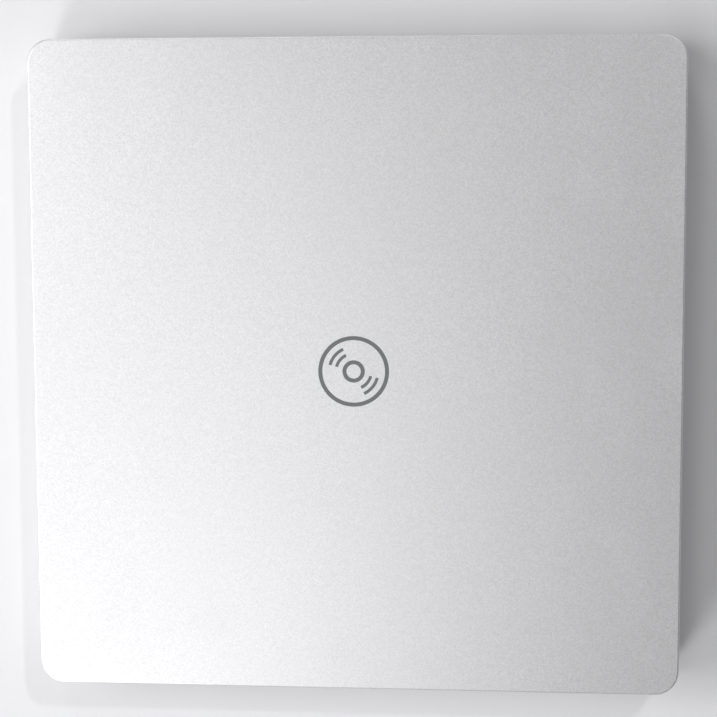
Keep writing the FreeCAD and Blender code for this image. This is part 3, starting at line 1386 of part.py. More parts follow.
def frame_openings(solid):
    """Openings for the pickup, the spindle, the sled motor and the grommets."""
    bay, under_spindle, motor_bay, ear_holes = (solid.sketch("frame_low") for _ in range(4))
    rectangle(bay, ("bay_near", "bay_far"), ("-sled_half - bay_gap", "sled_half + bay_cans"))
    circle(under_spindle, "0", "0", "spindle_bay")
    ends = "motor_near - motor_gap", "motor_near + motor_length + motor_gap"
    rectangle(motor_bay, ends, about("screw_v", "motor_bay_half"))
    for u, v in DAMPERS:
        circle(ear_holes, u, v, "ear_hole")
    for opening in (bay, under_spindle, motor_bay, ear_holes):
        solid.pocket(opening, "frame_sheet", up=True)


def dampers():
    """Rubber grommets in the frame's ears, each held by a shouldered screw."""
    sizes = "damper_head", "damper_cap", "hanger_radius", "frame_sheet + grommet_flange"
    rings, screws = [], []
    for u, v in DAMPERS:
        waist = rod(u, v, "frame_low", "ear_hole - play / 2", "frame_sheet")
        flange = rod(u, v, FRAME_TOP, "grommet_radius", "grommet_flange")
        rings.append(cut(fuse(waist, flange), drill(u, v, "grommet_bore")))
        screws.append(screw((u, v, "frame_low"), *sizes))
    travelled(node("dampers", group(*rings)), node("damper_screws", group(*screws)))


def guide_rods():
    for word, v, far in (("main", "main_rod_v", "main_far"), ("side", "side_rod_v", "side_far")):
        length = f"{far} + support_outer - support_near"
        bar = rod("support_near", v, "rod_height", "rod_radius", length, "x")
        travelled(node(f"guide_rod_{word}", group(bar)))


def spindle_motor():
    """Fixed half of the spindle motor: base, bearing and wound stator."""
    base = rod("0", "0", FRAME_TOP, "base_radius", "base_sheet")
    holes = [drill(x, y, "base_hole") for x, y in around("base_hole_circle", 3, start=60)]
    plate = node("motor_base", cut(base, drill("0", "0", "bush_radius + play"), *holes))
    sleeve = rod("0", "0", "frame_low", "bush_radius", "bush_height")
    flange = rod("0", "0", f"{FRAME_TOP} + base_sheet", "bush_flange", "bush_flange_sheet")
    bore = rod("0", "0", "frame_low + bush_floor", "bush_bore", "bush_height")
    bearing = node("motor_bearing", cut(fuse(sleeve, flange), bore))
    core = rod("0", "0", f"{FRAME_TOP} + stator_gap", "stator_radius", "stator_height")
    slots = [drill(x, y, "stator_slot") for x, y in around("stator_slot_circle", 9)]
    mouths = [drill(x, y, "stator_mouth") for x, y in around("stator_mouth_circle", 9)]
    stator = node("motor_stator", cut(core, drill("0", "0", "stator_bore"), *slots, *mouths))
    travelled(plate, bearing, stator)


def spindle():
    """Turning half: shaft, motor can, turntable with its rubber ring, and centring hub."""
    length = "hub_top - frame_low - 2 * shaft_inset"
    bar = rod("0", "0", "frame_low + shaft_inset", "shaft_radius", length)
    shaft = node("spindle_shaft", group(bar))
    can = rod("0", "0", f"{FRAME_TOP} + rotor_gap", "rotor_radius", "rotor_height")
    hollow = rod("0", "0", FRAME_TOP, "rotor_radius - rotor_sheet", "rotor_gap + rotor_height - rotor_roof")
    rotor = node("spindle_rotor", cut(can, hollow, drill("0", "0", "shaft_radius")))
    table = rod("0", "0", f"{PAD_LOW} - table_sheet", "table_radius", "table_sheet")
    neck = rod("0", "0", ROTOR_TOP, "neck_radius", f"{PAD_LOW} - table_sheet - {ROTOR_TOP}")
    hub = rod("0", "0", PAD_LOW, "hub_radius", f"hub_top - {PAD_LOW}")
    hub = soften(hub, "hub_round", at_height("hub_top"))
    ways = []
    for angle in CLAW_ANGLES:
        z = "disc_height + claw_low - claw_way_gap", "hub_top - claw_roof + claw_way_gap"
        way = block(("claw_way_back", "hub_radius + past"), about("0", "claw_half + claw_way_gap"), z)
        ways.append(turned(group(way), angle))
    turntable = node("turntable", cut(fuse(table, neck, hub), drill("0", "0", "shaft_radius"), *ways))
    pad = rod("0", "0", PAD_LOW, "table_radius - play", "pad_sheet")
    travelled(shaft, rotor, turntable, node("turntable_pad", cut(pad, drill("0", "0", "pad_inner"))))


def chuck_claws():
    """Sprung claws of the hub that grip the disc's rim."""
    face, top = "hub_radius - play", "hub_top - claw_roof"
    for number, angle in enumerate(CLAW_ANGLES, start=1):
        body = block(("claw_back", face), about("0", "claw_half"), ("disc_height + claw_low", top))
        lip = block(
            (face, "hub_radius + claw_lip"),
            about("0", "claw_lip_half"),
            ("disc_height + claw_lip_low", top),
        )
        travelled(node(f"chuck_claw_{number}", fuse(body, lip)), turn=angle)


def sled_drive():
    """Stepper motor and lead screw that move the pickup."""

    def on_axis(near, radius, length):
        return rod(near, "screw_v", "screw_height", radius, length, "x")

    can = on_axis("motor_near", "motor_radius", "motor_length")
    tail = on_axis("motor_near + motor_length", "tail_radius", "tail_length")
    terminals = block(
        ("motor_near + terminal_near", "motor_near + terminal_far"),
        about("screw_v", "terminal_half"),
        ("frame_low - play", "screw_height"),
    )
    bore = on_axis("0", "journal_bore - play / 2", "motor_near + motor_bore")
    motor = node("sled_motor", cut(fuse(can, tail, terminals), bore))
    thread_length = "(motor_near - motor_gap - thread_near)"
    thread = on_axis("thread_near", "thread_radius", thread_length)
    journals = on_axis("journal_start", "journal_bore - play", "motor_near + journal_depth - journal_start")
    groove_length = f"{thread_length} + thread_lead"
    groove = helix_sweep("thread_lead", groove_length, "thread_radius", "groove_middle", 4, "groove_bite")
    start = Vector(value("thread_near - thread_lead / 2"), value("screw_v"), value("screw_height"))
    groove.Placement = Placement(start, Rotation(Vector(0, 1, 0), 90))
    travelled(motor, node("lead_screw", cut(fuse(thread, journals), groove)))


# ---- pickup


def pickup_base():
    """Die-cast body on the two rods, with the lens's well and the seats of the laser cans."""
    body = block(
        from_lens("sled_near", "sled_far"),
        about("0", "sled_half"),
        ("frame_low + play", "sled_top"),
    )
    middle = block(
        from_lens("mount_near", "mount_far"),
        about("0", "mount_half"),
        ("sled_top", "sled_top + mount_rise"),
    )
    height = f"{FRAME_TOP} + play", "support_top"
    length = from_lens("bearing_near", "bearing_far")
    bearing = block(length, ("main_rod_v - bearing_wall", "-sled_half"), height)
    fork = block(from_lens("-fork_half", "fork_half"), ("sled_half", "side_rod_v + fork_wall"), height)
    bore = rod("0", "main_rod_v", "rod_height", "rod_radius + play / 2", "case_width", "x")
    jaw = block(
        from_lens("-fork_half - past", "fork_half + past"),
        ("side_rod_v - fork_wall", "side_rod_v + fork_wall + past"),
        about("rod_height", "rod_radius + play"),
    )
    well = block(from_lens("well_near", "well_far"), about("0", "well_half"), ("well_floor", "case_height"))
    beam = rod("lens_near", "0", "beam_low", "beam_radius", "case_height")
    seats = laser_cans("laser_radius + play / 2", "laser_length + 2 * play")
    solid = fuse(body, middle, bearing, fork)
    base = node("pickup_base", cut(solid, bore, jaw, turntable_clearance(), well, beam, *seats))
    travelled(base, node("laser_diodes", group(*laser_cans("laser_radius", "laser_length"))))


def turntable_clearance():
    """The round bite of the pickup's inner end."""
    return drill("0", "0", "hub_hole - play")


def laser_cans(radius, length):
    """Two cans in the side of the pickup."""
    cans = []
    for side in (-1, 1):
        u = f"lens_near + {side} * laser_across"
        cans.append(rod(u, "sled_half - laser_seat", "laser_height", radius, length, "y"))
    return cans


def pickup_cover():
    """Thin sheet over the pickup's body, round its raised middle."""
    sheet_metal = block(
        from_lens("sled_near + hood_gap", "sled_far - hood_gap"),
        about("0", "sled_half - 2 * hood_gap"),
        ("sled_top", "sled_top + hood_sheet"),
    )
    ends = from_lens("mount_near - hood_gap", "mount_far + hood_gap")
    middle = block(ends, about("0", "mount_half + hood_gap"), THROUGH)
    travelled(node("pickup_cover", cut(sheet_metal, middle, turntable_clearance())))


def pickup_nut():
    """Nut on the lead screw and the arm that joins it to the body."""
    height = "nut_low", "nut_high"
    root = "main_rod_v - bearing_wall"
    arm = block(from_lens("nut_near", "nut_join"), (f"{root} - nut_wall", root), height)
    nut = block(from_lens("nut_near", "nut_far"), ("screw_v - nut_half", root), height)
    bore = rod("0", "screw_v", "screw_height", "thread_radius + play / 2", "case_width", "x")
    travelled(node("pickup_nut", cut(fuse(arm, nut), bore)))


def lens_parts():
    """Magnets of the focus drive, lens holder and lens."""
    bars = []
    for side in (-1, 1):
        width = about(f"{side} * magnet_across", "magnet_half")
        bars.append(block(from_lens("-magnet_reach", "magnet_reach"), width, ("well_floor", "magnet_top")))
    magnets = node("pickup_magnets", group(*bars))
    frame = block(
        from_lens("-holder_reach", "holder_reach"),
        about("0", "holder_half"),
        ("holder_low", "holder_high"),
    )
    eye = rod("lens_near", "0", "eye_floor", "eye_radius", "case_height")
    holder = node("lens_holder", cut(frame, eye, drill("lens_near", "0", "eye_bore")))
    edge = rod("lens_near", "0", "eye_floor", "eye_radius - play / 2", "glass_sheet")
    ball = doc.addObject("Part::Sphere", "ball")
    bind(ball, "Radius", "dome_radius")
    bind(ball, "Placement.Base.x", "lens_near")
    bind(ball, "Placement.Base.z", "dome_top - dome_radius")
    dome = common(ball, rod("lens_near", "0", "eye_floor", "dome_edge", "case_height"))
    travelled(magnets, holder, node("objective_lens", fuse(edge, dome)))


# ---- electronics behind the drive


def bridge_board():
    """Board behind the drive, with its screws and chips."""
    depth = f"{DRIVE_BACK} + board_gap", f"{BACK} - base_wall - 2 * play"
    board = block(("board_left", "board_right"), depth, ("board_low", BOARD_TOP))
    holes = [drill(x, "board_post_y", "small_shank + play") for x in BOARD_POSTS]
    node("bridge_board", cut(board, *holes))
    sizes = "small_head", "board_cap", "small_shank", "board_sheet"
    screws = [screw((x, "board_post_y", BOARD_TOP), *sizes, way=-1) for x in BOARD_POSTS]
    node("board_screws", group(*screws))
    node("bridge_chips", group(*chips(BOARD_TOP, BRIDGE_CHIPS, way=1)))


def usb_c_port():
    """Drawn shell of the port with the tongue inside it."""
    solid = Solid("usb_c_port_body")
    shell, inside = solid.upright_sketch(PORT_MOUTH), solid.upright_sketch(PORT_MOUTH)
    slot(shell, "port_x", PORT_CENTRE, "port_width", "port_height")
    solid.pad(shell, "port_length")
    slot(inside, "port_x", PORT_CENTRE, "port_width - 2 * port_sheet", "port_height - 2 * port_sheet")
    solid.pocket(inside, "port_length - port_sheet", up=True)
    node("usb_c_port", solid.body)
    depth = f"{PORT_MOUTH} - port_length + port_sheet", f"{PORT_MOUTH} - tongue_set"
    tongue = block(about("port_x", "tongue_half"), depth, about(PORT_CENTRE, "tongue_sheet / 2"))
    node("usb_c_tongue", tongue)


def drive_link():
    """Socket of the bridge board, and the drive's plug on its upright board."""
    depth = SOCKET_FACE, f"{SOCKET_FACE} + socket_length"
    housing = block(("socket_left", "socket_right"), depth, (BOARD_TOP, "socket_top"))
    left, right = "socket_left + cavity_wall", "socket_right - cavity_wall"
    inside = f"{SOCKET_FACE} - past", f"{SOCKET_FACE} + cavity_depth"
    node("sata_receptacle", cut(housing, block((left, right), inside, ("cavity_low", "cavity_high"))))
    back = f"({DRIVE_INSIDE} - upright_gap)"
    front = f"({back} - upright_sheet)"
    foot = f"{CHASSIS_FLOOR} + play"
    plug = block(
        (f"{left} + blade_gap", f"{right} - blade_gap"),
        (back, f"{SOCKET_FACE} + cavity_depth - blade_gap"),
        ("cavity_low + blade_gap", "cavity_high - blade_gap"),
    )
    key_depth = f"{SOCKET_FACE} - key_front", f"{SOCKET_FACE} + cavity_depth"
    notch = block(("key_left", "key_right"), key_depth, ("cavity_low", "key_top"))
    board = block(("upright_left", "upright_right"), (front, back), (foot, "upright_top"))
    inlet = block(("inlet_left", "inlet_right"), (f"{front} - inlet_depth", front), (foot, "inlet_top"))
    node("drive_connector", fuse(cut(plug, notch), board, inlet))


def flat_cable():
    """Flat cable folded under the tray; its loop rolls along as the tray moves."""
    wide = "cable_left", "cable_right"
    low = f"({CHASSIS_FLOOR} + play)"
    high = f"({low} + 2 * cable_bend - cable_sheet)"
    lower = block(wide, ("cable_fold", "cable_back"), (low, f"{low} + cable_sheet"))
    upper = block(wide, ("cable_fold", "cable_rise"), (high, f"{high} + cable_sheet"))
    riser = block(wide, ("cable_rise - cable_sheet", "cable_rise"), (high, HEADER_LOW))
    axis = "cable_fold", f"{low} + cable_bend"
    roll = rod("cable_left", *axis, "cable_bend", "cable_right - cable_left", "x")
    length = "cable_right - cable_left + 2 * past"
    hollow = rod("cable_left - past", *axis, "cable_bend - cable_sheet", length, "x")
    behind = block(("cable_left - past", "cable_right + past"), ("cable_fold", "0"), THROUGH)
    node("flat_cable", fuse(lower, upper, riser, cut(roll, hollow, behind)))


SUB_PARTS = (
    top_cover,
    bottom_cover,
    rubber_feet,
    case_screws,
    drive_chassis,
    drive_lid,
    chassis_screws,
    latch_pin,
    runners,
    bridge_board,
    usb_c_port,
    drive_link,
    flat_cable,
    tray,
    tray_underplate,
    tray_screws,
    tray_bezel,
    eject_button,
    lamp_lens,
    switch_board,
    tray_board,
    latch,
    ejector,
    mechanism_cover,
    traverse_frame,
    dampers,
    guide_rods,
    spindle_motor,
    spindle,
    chuck_claws,
    sled_drive,
    pickup_base,
    pickup_cover,
    pickup_nut,
    lens_parts,
)
for build in SUB_PARTS:
    build()
doc.recompute()

os.makedirs("parts", exist_ok=True)
for thing in doc.Objects:
    if {"Invalid", "Error"} & set(thing.State):
        raise RuntimeError(f"{thing.Label} did not build")
for thing in nodes:
    if thing.Shape.isNull() or not thing.Shape.isValid() or not thing.Shape.Solids:
        raise RuntimeError(f"{thing.Label} has no valid solid")
for thing in nodes:
    thing.Shape.exportStep(os.path.join("parts", f"{thing.Label}.step"))
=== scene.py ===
import json
import math

import bmesh
import bpy
from mathutils import Matrix, Vector


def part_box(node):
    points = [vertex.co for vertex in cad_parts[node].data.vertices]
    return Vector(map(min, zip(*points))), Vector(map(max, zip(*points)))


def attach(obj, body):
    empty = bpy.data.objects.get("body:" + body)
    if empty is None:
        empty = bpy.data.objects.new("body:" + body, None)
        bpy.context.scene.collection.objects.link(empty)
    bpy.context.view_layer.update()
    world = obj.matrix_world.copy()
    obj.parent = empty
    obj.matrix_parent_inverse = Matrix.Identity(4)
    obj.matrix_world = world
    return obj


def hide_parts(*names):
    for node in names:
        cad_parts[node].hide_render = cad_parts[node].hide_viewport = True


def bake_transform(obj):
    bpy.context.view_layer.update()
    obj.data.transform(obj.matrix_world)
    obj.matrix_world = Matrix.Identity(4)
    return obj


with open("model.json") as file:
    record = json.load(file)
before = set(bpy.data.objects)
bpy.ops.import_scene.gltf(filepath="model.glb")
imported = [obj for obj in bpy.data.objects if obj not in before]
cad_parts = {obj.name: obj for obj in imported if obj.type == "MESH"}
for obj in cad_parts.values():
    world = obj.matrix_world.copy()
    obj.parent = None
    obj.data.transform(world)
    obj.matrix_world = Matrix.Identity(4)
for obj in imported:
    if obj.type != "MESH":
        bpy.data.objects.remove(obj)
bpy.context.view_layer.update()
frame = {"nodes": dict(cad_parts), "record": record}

MM = 0.001


def mm(*values):
    return Vector(values) * MM


# ---- finishes: every pattern is laid out in object space, which is the row frame in metres


class Finish:
    """A Principled material and short ways to wire patterns into it."""

    def __init__(self, name, **sockets):
        self.material = bpy.data.materials.new(name)
        self.material.use_nodes = True
        self.tree = self.material.node_tree
        self.shader = self.tree.nodes["Principled BSDF"]
        for socket, value in sockets.items():
            self.shader.inputs[socket.replace("_", " ")].default_value = value
        self.place = self.node("ShaderNodeTexCoord").outputs["Object"]

    def node(self, kind, **settings):
        made = self.tree.nodes.new(kind)
        for name, value in settings.items():
            setattr(made, name, value)
        return made

    def link(self, source, target):
        if isinstance(source, bpy.types.NodeSocket):
            self.tree.links.new(source, target)
        else:
            target.default_value = source
        return target

    def stretched(self, along=(1, 1, 1), turn=0.0):
        """Object space, turned about Z and then scaled along each axis."""
        mapping = self.node("ShaderNodeMapping", vector_type="POINT")
        mapping.inputs["Rotation"].default_value = (0, 0, math.radians(turn))
        mapping.inputs["Scale"].default_value = along
        self.link(self.place, mapping.inputs["Vector"])
        return mapping.outputs["Vector"]

    def noise(self, grain, detail=2.0, rough=0.55, place=None, warp=0.0):
        """Noise whose features are about so many millimetres across."""
        made = self.node("ShaderNodeTexNoise")
        self.link(place or self.place, made.inputs["Vector"])
        made.inputs["Scale"].default_value = 1.0 / (grain * MM)
        made.inputs["Detail"].default_value = detail
        made.inputs["Roughness"].default_value = rough
        made.inputs["Distortion"].default_value = warp
        return made.outputs["Fac"]

    def cells(self, size, feature="F1", output="Distance", spread=1.0, place=None):
        made = self.node("ShaderNodeTexVoronoi", feature=feature)
        self.link(place or self.place, made.inputs["Vector"])
        made.inputs["Scale"].default_value = 1.0 / (size * MM)
        made.inputs["Randomness"].default_value = spread
        return made.outputs[output]

    def ramp(self, source, low, high, to_low=0.0, to_high=1.0):
        """A value stretched from one range to another and held at its ends."""
        made = self.node("ShaderNodeMapRange")
        sockets = ("Value", "From Min", "From Max", "To Min", "To Max")
        for socket, value in zip(sockets, (source, low, high, to_low, to_high)):
            self.link(value, made.inputs[socket])
        return made.outputs["Result"]

    def maths(self, operation, first, second=0.0):
        made = self.node("ShaderNodeMath", operation=operation)
        self.link(first, made.inputs[0])
        self.link(second, made.inputs[1])
        return made.outputs[0]

    def mix(self, factor, first, second):
        """Colours mixed by a factor."""
        made = self.node("ShaderNodeMix", data_type="RGBA")
        self.link(factor, made.inputs["Factor"])
        for value, slot in ((first, 6), (second, 7)):
            value = (*value, 1.0) if isinstance(value, tuple) and len(value) == 3 else value
            self.link(value, made.inputs[slot])
        return made.outputs[2]

    def edges(self, radius, low=0.02, high=0.25):
        """1 along convex and concave edges, 0 on flat faces."""
        bevel = self.node("ShaderNodeBevel", samples=4)
        bevel.inputs["Radius"].default_value = radius * MM
        geometry = self.node("ShaderNodeNewGeometry")
        dot = self.node("ShaderNodeVectorMath", operation="DOT_PRODUCT")
        self.link(bevel.outputs["Normal"], dot.inputs[0])
        self.link(geometry.outputs["Normal"], dot.inputs[1])
        return self.ramp(self.maths("SUBTRACT", 1.0, dot.outputs["Value"]), low, high)

    def bump(self, height, depth, strength=1.0, over=None):
        """Relief of so many millimetres, laid over another relief."""
        made = self.node("ShaderNodeBump")
        made.inputs["Strength"].default_value = strength
        made.inputs["Distance"].default_value = depth * MM
        self.link(height, made.inputs["Height"])
        if over is not None:
            self.link(over, made.inputs["Normal"])
        return made.outputs["Normal"]

    def done(self, colour, roughness, normal=None, **more):
        colour = (*colour, 1.0) if isinstance(colour, tuple) and len(colour) == 3 else colour
        self.link(colour, self.shader.inputs["Base Color"])
        self.link(roughness, self.shader.inputs["Roughness"])
        if normal is not None:
            self.link(normal, self.shader.inputs["Normal"])
        for socket, value in more.items():
            self.link(value, self.shader.inputs[socket.replace("_", " ")])
        return self.material


def darker(tone, share):
    return tuple(c * share for c in tone)


def lighter(tone, share, lift=0.0):
    return tuple(min(1.0, c * share + lift) for c in tone)


def blasted_metal(name, tone, metallic=0.82, rough=0.42, relief=0.010):
    """Bead-blasted, anodised aluminium: fine grain in tone, gloss and relief, with faint handling marks."""
    f = Finish(name, Metallic=metallic)
    fine, coarse, cloud = f.noise(0.28, 1.0), f.noise(0.6, 2.0), f.noise(26, 3.0)
    grain = f.maths("ADD", f.maths("MULTIPLY", fine, 0.68), f.maths("MULTIPLY", coarse, 0.32))
    colour = f.mix(f.ramp(grain, 0.36, 0.64), darker(tone, 0.91), lighter(tone, 1.09))
    colour = f.mix(f.ramp(cloud, 0.35, 0.7, 0.0, 0.25), colour, darker(tone, 0.97))
    smears = f.noise(9, 3.0, 0.6, f.stretched((1.0, 0.35, 1.0), 24), warp=0.6)
    gloss = f.ramp(grain, 0.3, 0.7, rough - 0.03, rough + 0.03)
    gloss = f.maths("ADD", gloss, f.ramp(smears, 0.52, 0.75, 0.0, 0.035))
    worn = f.maths("MULTIPLY", f.edges(0.35), f.ramp(f.noise(1.6, 3.0), 0.45, 0.6))
    colour = f.mix(f.maths("MULTIPLY", worn, 0.35), colour, (0.93, 0.93, 0.935))
    normal = f.bump(coarse, relief, 0.8, f.bump(fine, relief * 0.6, 0.8))
    return f.done(colour, gloss, normal)


def moulded(name, tone, rough=0.5, grain=0.35, relief=0.02, wear=0.25, flake=0.0):
    """Moulded plastic: spark-eroded texture, slow tone drift, polished and scuffed edges."""
    f = Finish(name, Metallic=flake)
    pits, drift = f.noise(grain, 2.0, 0.6), f.noise(18, 2.0)
    colour = f.mix(f.ramp(drift, 0.3, 0.7), darker(tone, 0.93), lighter(tone, 1.06))
    colour = f.mix(f.ramp(pits, 0.35, 0.65, 0.0, 0.3), colour, darker(tone, 0.9))
    rubbed = f.maths("MULTIPLY", f.edges(0.25), f.ramp(f.noise(2.2, 3.0), 0.42, 0.62))
    colour = f.mix(f.maths("MULTIPLY", rubbed, wear), colour, lighter(tone, 1.5, 0.05))
    scuffs = f.noise(6, 4.0, 0.65, f.stretched((1, 0.12, 1), 35))
    gloss = f.ramp(pits, 0.3, 0.7, rough - 0.06, rough + 0.06)
    gloss = f.maths("ADD", gloss, f.ramp(scuffs, 0.55, 0.72, 0.0, -0.08))
    return f.done(colour, gloss, f.bump(pits, relief, 0.9))


def rolled_steel(name, tone, rough=0.3, turn=0.0, streak=0.25):
    """Plated sheet: rolling lines, a faint spangle, oily patches."""
    f = Finish(name, Metallic=1.0)
    lines = f.noise(0.22, 2.0, 0.6, f.stretched((0.012, 1.0, 1.0), turn))
    spangle = f.ramp(f.cells(3.5, output="Color"), 0.0, 1.0, 0.0, 0.3)
    patch = f.noise(14, 3.0, 0.6, warp=0.5)
    colour = f.mix(f.ramp(lines, 0.35, 0.65), darker(tone, 0.95), lighter(tone, 1.04))
    colour = f.mix(spangle, colour, darker(tone, 0.85))
    colour = f.mix(f.ramp(patch, 0.5, 0.75, 0.0, 0.2), colour, darker(tone, 0.82))
    gloss = f.ramp(lines, 0.3, 0.7, rough - 0.03, rough + 0.05)
    gloss = f.maths("ADD", gloss, f.ramp(patch, 0.4, 0.7, 0.0, 0.1))
    return f.done(colour, gloss, f.bump(lines, 0.004, streak))


def turned_metal(name, tone, rough=0.2):
    """Ground or turned metal: tight scratches and slight tarnish."""
    f = Finish(name, Metallic=1.0)
    rings = f.noise(0.12, 2.0, 0.6, f.stretched((1, 1, 0.05)))
    tarnish = f.noise(4, 3.0, 0.6)
    colour = f.mix(f.ramp(tarnish, 0.4, 0.7, 0.0, 0.4), tone, darker(tone, 0.72))
    gloss = f.ramp(rings, 0.3, 0.7, rough - 0.04, rough + 0.06)
    gloss = f.maths("ADD", gloss, f.ramp(tarnish, 0.45, 0.7, 0.0, 0.12))
    return f.done(colour, gloss, f.bump(rings, 0.003, 0.5))


def cast_metal(name, tone, rough=0.45):
    """Die-cast alloy: mottled skin with flow lines."""
    f = Finish(name, Metallic=0.9)
    skin, flow = f.noise(0.5, 4.0, 0.65), f.noise(5, 4.0, 0.6, f.stretched((1, 0.4, 1), 45), warp=1.5)
    colour = f.mix(f.ramp(flow, 0.35, 0.7), darker(tone, 0.82), lighter(tone, 1.1))
    colour = f.mix(f.maths("MULTIPLY", f.edges(0.3), 0.4), colour, (0.85, 0.85, 0.86))
    return f.done(colour, f.ramp(skin, 0.3, 0.7, rough - 0.1, rough + 0.1), f.bump(skin, 0.02, 0.7))


def circuit_board(name, tone):
    """Solder mask over copper tracks, with tinned vias."""
    f = Finish(name, Coat_Weight=0.35, Coat_Roughness=0.15)
    grid = f.stretched((1, 1, 0.02))
    tracks = f.cells(1.5, "DISTANCE_TO_EDGE", "Distance", 0.35, grid)
    raised = f.ramp(tracks, 0.045, 0.075, 1.0, 0.0)
    vias = f.ramp(f.cells(2.6, "F1", "Distance", 0.8, grid), 0.08, 0.1, 1.0, 0.0)
    weave = f.noise(0.35, 2.0, 0.5, grid)
    colour = f.mix(f.ramp(weave, 0.3, 0.7, 0.0, 0.35), tone, darker(tone, 0.75))
    colour = f.mix(f.maths("MULTIPLY", raised, 0.7), colour, lighter(tone, 1.8, 0.01))
    colour = f.mix(vias, colour, (0.62, 0.60, 0.52))
    f.link(vias, f.shader.inputs["Metallic"])
    return f.done(colour, f.ramp(weave, 0.3, 0.7, 0.34, 0.44), f.bump(raised, 0.03, 0.8))


def rubber(name, tone, rough=0.75):
    f = Finish(name)
    pores, dust = f.noise(0.3, 3.0, 0.6), f.noise(7, 4.0, 0.65)
    colour = f.mix(f.ramp(dust, 0.5, 0.75, 0.0, 0.5), tone, (0.22, 0.21, 0.2))
    colour = f.mix(f.maths("MULTIPLY", f.edges(0.3), 0.3), colour, lighter(tone, 2.2))
    return f.done(colour, f.ramp(pores, 0.3, 0.7, rough - 0.08, rough + 0.1), f.bump(pores, 0.03, 0.7))


def wound_copper(name):
    """Enamelled wire lying side by side."""
    f = Finish(name, Metallic=0.85)
    wave = f.node("ShaderNodeTexWave", wave_type="BANDS", bands_direction="X")
    f.link(f.stretched(turn=20), wave.inputs["Vector"])
    wave.inputs["Scale"].default_value = 1400.0
    wave.inputs["Distortion"].default_value = 1.2
    turns = wave.outputs["Fac"]
    # colour runs from dark brown in the grooves between turns to bright copper on their crowns: painted shade
    # in the grooves
    colour = f.mix(turns, (0.28, 0.09, 0.03), (0.78, 0.36, 0.16))
    return f.done(colour, f.ramp(turns, 0.0, 1.0, 0.42, 0.25), f.bump(turns, 0.05, 0.8))


def film(name):
    """Flat cable: conductors showing through a milky film."""
    f = Finish(name, Coat_Weight=0.4, Coat_Roughness=0.12)
    wave = f.node("ShaderNodeTexWave", wave_type="BANDS", bands_direction="X")
    f.link(f.place, wave.inputs["Vector"])
    wave.inputs["Scale"].default_value = 314.0
    bands = f.ramp(wave.outputs["Fac"], 0.45, 0.6)
    haze = f.noise(3, 3.0)
    colour = f.mix(bands, (0.78, 0.78, 0.75), (0.56, 0.55, 0.52))
    colour = f.mix(f.ramp(haze, 0.4, 0.7, 0.0, 0.2), colour, (0.66, 0.66, 0.62))
    return f.done(colour, f.ramp(haze, 0.3, 0.7, 0.28, 0.42), f.bump(bands, 0.02, 0.5))


def clear(name, tint, rough=0.03):
    """Coated glass or clear plastic."""
    f = Finish(name, Transmission_Weight=0.9, IOR=1.5, Coat_Weight=0.6, Coat_Roughness=0.02)
    f.shader.inputs["Coat Tint"].default_value = (0.62, 0.55, 1.0, 1.0)
    dust = f.noise(0.2, 3.0)
    colour = f.mix(f.ramp(dust, 0.5, 0.8, 0.0, 0.1), tint, (0.8, 0.8, 0.8))
    return f.done(colour, f.ramp(dust, 0.4, 0.8, rough, rough + 0.04))


def ink(name, tone):
    """Screen-printed ink: slightly uneven film over the metal."""
    f = Finish(name)
    body, pin = f.noise(0.4, 3.0, 0.6), f.noise(3, 2.0)
    colour = f.mix(f.ramp(body, 0.3, 0.7), darker(tone, 0.93), lighter(tone, 1.06))
    colour = f.mix(f.ramp(pin, 0.4, 0.7, 0.0, 0.15), colour, lighter(tone, 1.15))
    return f.done(colour, f.ramp(body, 0.3, 0.7, 0.4, 0.52), f.bump(body, 0.006, 0.6))


FINISHES = {
    "silver_shell": blasted_metal("shell_aluminium", (0.805, 0.804, 0.818)),
    "silver_plastic": moulded("base_plastic", (0.50, 0.505, 0.515), 0.46, 0.35, 0.02, 0.2, 0.45),
    "bezel_plastic": moulded("bezel_plastic", (0.58, 0.585, 0.595), 0.4, 0.3, 0.012, 0.2, 0.5),
    "black_plastic": moulded("black_plastic", (0.022, 0.022, 0.024), 0.5, 0.4, 0.025, 0.35),
    "foot_rubber": rubber("foot_rubber", (0.05, 0.05, 0.052)),
    "pad_rubber": rubber("pad_rubber", (0.03, 0.03, 0.032), 0.8),
    "sheet_steel": rolled_steel("sheet_steel", (0.60, 0.61, 0.62), 0.32, 12),
    "bright_steel": turned_metal("bright_steel", (0.72, 0.72, 0.73), 0.18),
    "screw_steel": turned_metal("screw_steel", (0.42, 0.42, 0.43), 0.28),
    "spring_steel": turned_metal("spring_steel", (0.58, 0.58, 0.59), 0.22),
    "magnet": turned_metal("nickel", (0.60, 0.60, 0.58), 0.16),
    "brass": turned_metal("brass", (0.76, 0.56, 0.26), 0.24),
    "die_cast": cast_metal("die_cast", (0.50, 0.50, 0.52)),
    "board": circuit_board("circuit_board", (0.012, 0.11, 0.055)),
    "chip": moulded("chip_epoxy", (0.022, 0.022, 0.024), 0.55, 0.2, 0.01, 0.15),
    "claw_plastic": moulded("hub_plastic", (0.62, 0.62, 0.60), 0.34, 0.5, 0.006, 0.15),
    "lamp_plastic": clear("lamp_plastic", (0.85, 0.92, 0.88), 0.12),
    "lens_glass": clear("lens_glass", (0.75, 0.8, 0.98)),
    "winding": wound_copper("winding"),
    "film": film("cable_film"),
}
slot_of = {row["node"]: row["material_slot"] for row in frame["record"]["subparts"]}
for name, piece in frame["nodes"].items():
    piece.data.materials.clear()
    piece.data.materials.append(FINISHES[slot_of[name]])


# ---- pieces built here


